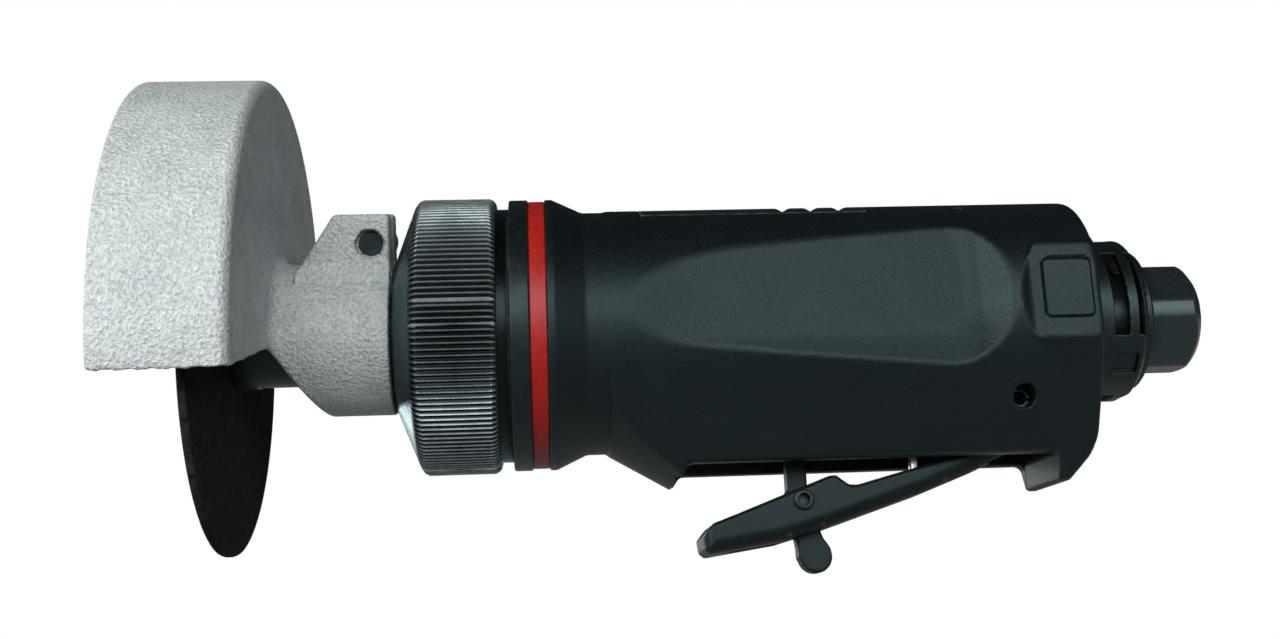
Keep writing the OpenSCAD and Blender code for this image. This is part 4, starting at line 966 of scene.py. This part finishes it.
plate_face = grained_finish(
    "dark satin plate", scale=1500, dark=(0.004, 0.0055, 0.006), light=(0.009, 0.0115, 0.012),
    shine=(0.34, 0.46), bump=(0.1, 0.03), stretch=(0.2, 1, 1), specular=0.28, tint=COOL,
    rubbed_and_highlight=(0.5, 0.55, 0.56), rub=1.0)
top_plate = field_mesh("top_plate_sheet", plate_field, (SEAT_X[0], -SEAT_HALF, 17.0),
                       (SEAT_X[1], SEAT_HALF, GRIP_R), 0.3)
dress(top_plate, plate_face, "housing", "top_plate")

# Studio: a pale floor, soft lights in front, at the left and behind, and a white backdrop.
# A dark ceiling keeps the black pieces black. The camera stands where the photograph was taken from,
# a little below the spindle's height.
scene = bpy.context.scene
scene.view_settings.view_transform = "Standard"
FLOOR_Z = -46.0
FLOOR_CORNERS = ((-1600, -1500), (1400, -1500), (1400, 1500), (-1600, 1500))
floor_mesh = bpy.data.meshes.new("floor")
floor_mesh.from_pydata([(x * MM, y * MM, FLOOR_Z * MM) for x, y in FLOOR_CORNERS], [], [(0, 1, 2, 3)])
floor = bpy.data.objects.new("floor", floor_mesh)
scene.collection.objects.link(floor)
floor_paint = bpy.data.materials.new("pale floor")
floor_paint.use_nodes = True
nodes, links = floor_paint.node_tree.nodes, floor_paint.node_tree.links
pale = nodes["Principled BSDF"]
pale.inputs["Base Color"].default_value = (0.86, 0.87, 0.87, 1)
pale.inputs["Roughness"].default_value = 0.9
pale.inputs["Specular IOR Level"].default_value = 0.1

# Little light bounces from the floor onto the object, and from below the floor is clear for the low camera.
dim = nodes.new("ShaderNodeBsdfDiffuse")
dim.inputs["Color"].default_value = (0.12, 0.12, 0.12, 1)
clear = nodes.new("ShaderNodeBsdfTransparent")
path = nodes.new("ShaderNodeLightPath")
side = nodes.new("ShaderNodeNewGeometry")
bounce = nodes.new("ShaderNodeMixShader")
links.new(path.outputs["Is Diffuse Ray"], bounce.inputs["Fac"])
links.new(pale.outputs["BSDF"], bounce.inputs[1])
links.new(dim.outputs["BSDF"], bounce.inputs[2])
under = nodes.new("ShaderNodeMixShader")
links.new(side.outputs["Backfacing"], under.inputs["Fac"])
links.new(bounce.outputs["Shader"], under.inputs[1])
links.new(clear.outputs["BSDF"], under.inputs[2])
links.new(under.outputs["Shader"], nodes["Material Output"].inputs["Surface"])
floor_mesh.materials.append(floor_paint)

world = bpy.data.worlds.new("studio")
scene.world = world
world.use_nodes = True
nodes, links = world.node_tree.nodes, world.node_tree.links
around = nodes["Background"]
around.inputs["Color"].default_value = (0.6, 0.95, 1.0, 1)
around.inputs["Strength"].default_value = 0.05
white = nodes.new("ShaderNodeBackground")
white.inputs["Color"].default_value = (1, 1, 1, 1)
white.inputs["Strength"].default_value = 1.0
path = nodes.new("ShaderNodeLightPath")
direction = nodes.new("ShaderNodeTexCoord")
height = nodes.new("ShaderNodeSeparateXYZ")
links.new(direction.outputs["Generated"], height.inputs[0])
backdrop = nodes.new("ShaderNodeMapRange")
backdrop.inputs["From Min"].default_value = 0.0
backdrop.inputs["From Max"].default_value = 0.12
backdrop.inputs["To Min"].default_value = 1
backdrop.inputs["To Max"].default_value = 0
links.new(height.outputs["Z"], backdrop.inputs["Value"])

# The camera sees white all around, and reflections see it only low down, under the dark ceiling.
seen = path.outputs["Is Camera Ray"]
for ray in ("Is Glossy Ray", "Is Transmission Ray"):
    mirrored = nodes.new("ShaderNodeMath")
    mirrored.operation = "MULTIPLY"
    links.new(path.outputs[ray], mirrored.inputs[0])
    links.new(backdrop.outputs["Result"], mirrored.inputs[1])
    either = nodes.new("ShaderNodeMath")
    either.operation = "MAXIMUM"
    links.new(seen, either.inputs[0])
    links.new(mirrored.outputs[0], either.inputs[1])
    seen = either.outputs[0]
mixed = nodes.new("ShaderNodeMixShader")
links.new(seen, mixed.inputs["Fac"])
links.new(around.outputs["Background"], mixed.inputs[1])
links.new(white.outputs["Background"], mixed.inputs[2])
links.new(mixed.outputs["Shader"], nodes["World Output"].inputs["Surface"])

TARGET = Vector((-101.9, 0, 2.5)) * MM
LAMP_DISTANCE = 1.8


def add_lamp(name, direction, size, power):
    """A soft rectangular light that points at the object."""
    lamp = bpy.data.lights.new(name, "AREA")
    lamp.shape = "RECTANGLE"
    lamp.size, lamp.size_y = size
    lamp.energy = power
    holder = bpy.data.objects.new(name, lamp)
    scene.collection.objects.link(holder)
    aim = Vector(direction).normalized()
    holder.location = TARGET + aim * LAMP_DISTANCE
    holder.rotation_euler = aim.to_track_quat("Z", "Y").to_euler()


add_lamp("key", (0.06, -0.955, 0.28), size=(2.4, 0.84), power=33)
add_lamp("side", (-0.8, -0.56, 0.22), size=(1.0, 1.0), power=25)
add_lamp("fill", (-0.66, 0.72, 0.2), size=(1.2, 0.8), power=17)

# The camera was fitted to the outlines of the wheel, the rings and the inlet.
CAMERA_DISTANCE = 263.2
azimuth = math.radians(-4.11)
elevation = math.radians(-13.0)
roll = math.radians(-2.29)
right = Vector((math.cos(azimuth), math.sin(azimuth), 0))
level = math.cos(elevation)
back = Vector((math.sin(azimuth) * level, -math.cos(azimuth) * level, math.sin(elevation)))
up = back.cross(right)
turned_right = right * math.cos(roll) + up * math.sin(roll)
turned_up = up * math.cos(roll) - right * math.sin(roll)
lens = bpy.data.cameras.new("photo camera")
lens.sensor_fit = "HORIZONTAL"
lens.sensor_width = 36
lens.lens = 40.39
lens.clip_start = 0.01
camera = bpy.data.objects.new("photo camera", lens)
scene.collection.objects.link(camera)
stand = TARGET + back * CAMERA_DISTANCE * MM
columns = Matrix((turned_right, turned_up, back)).transposed().to_4x4()
camera.matrix_world = Matrix.Translation(stand) @ columns
scene.camera = camera
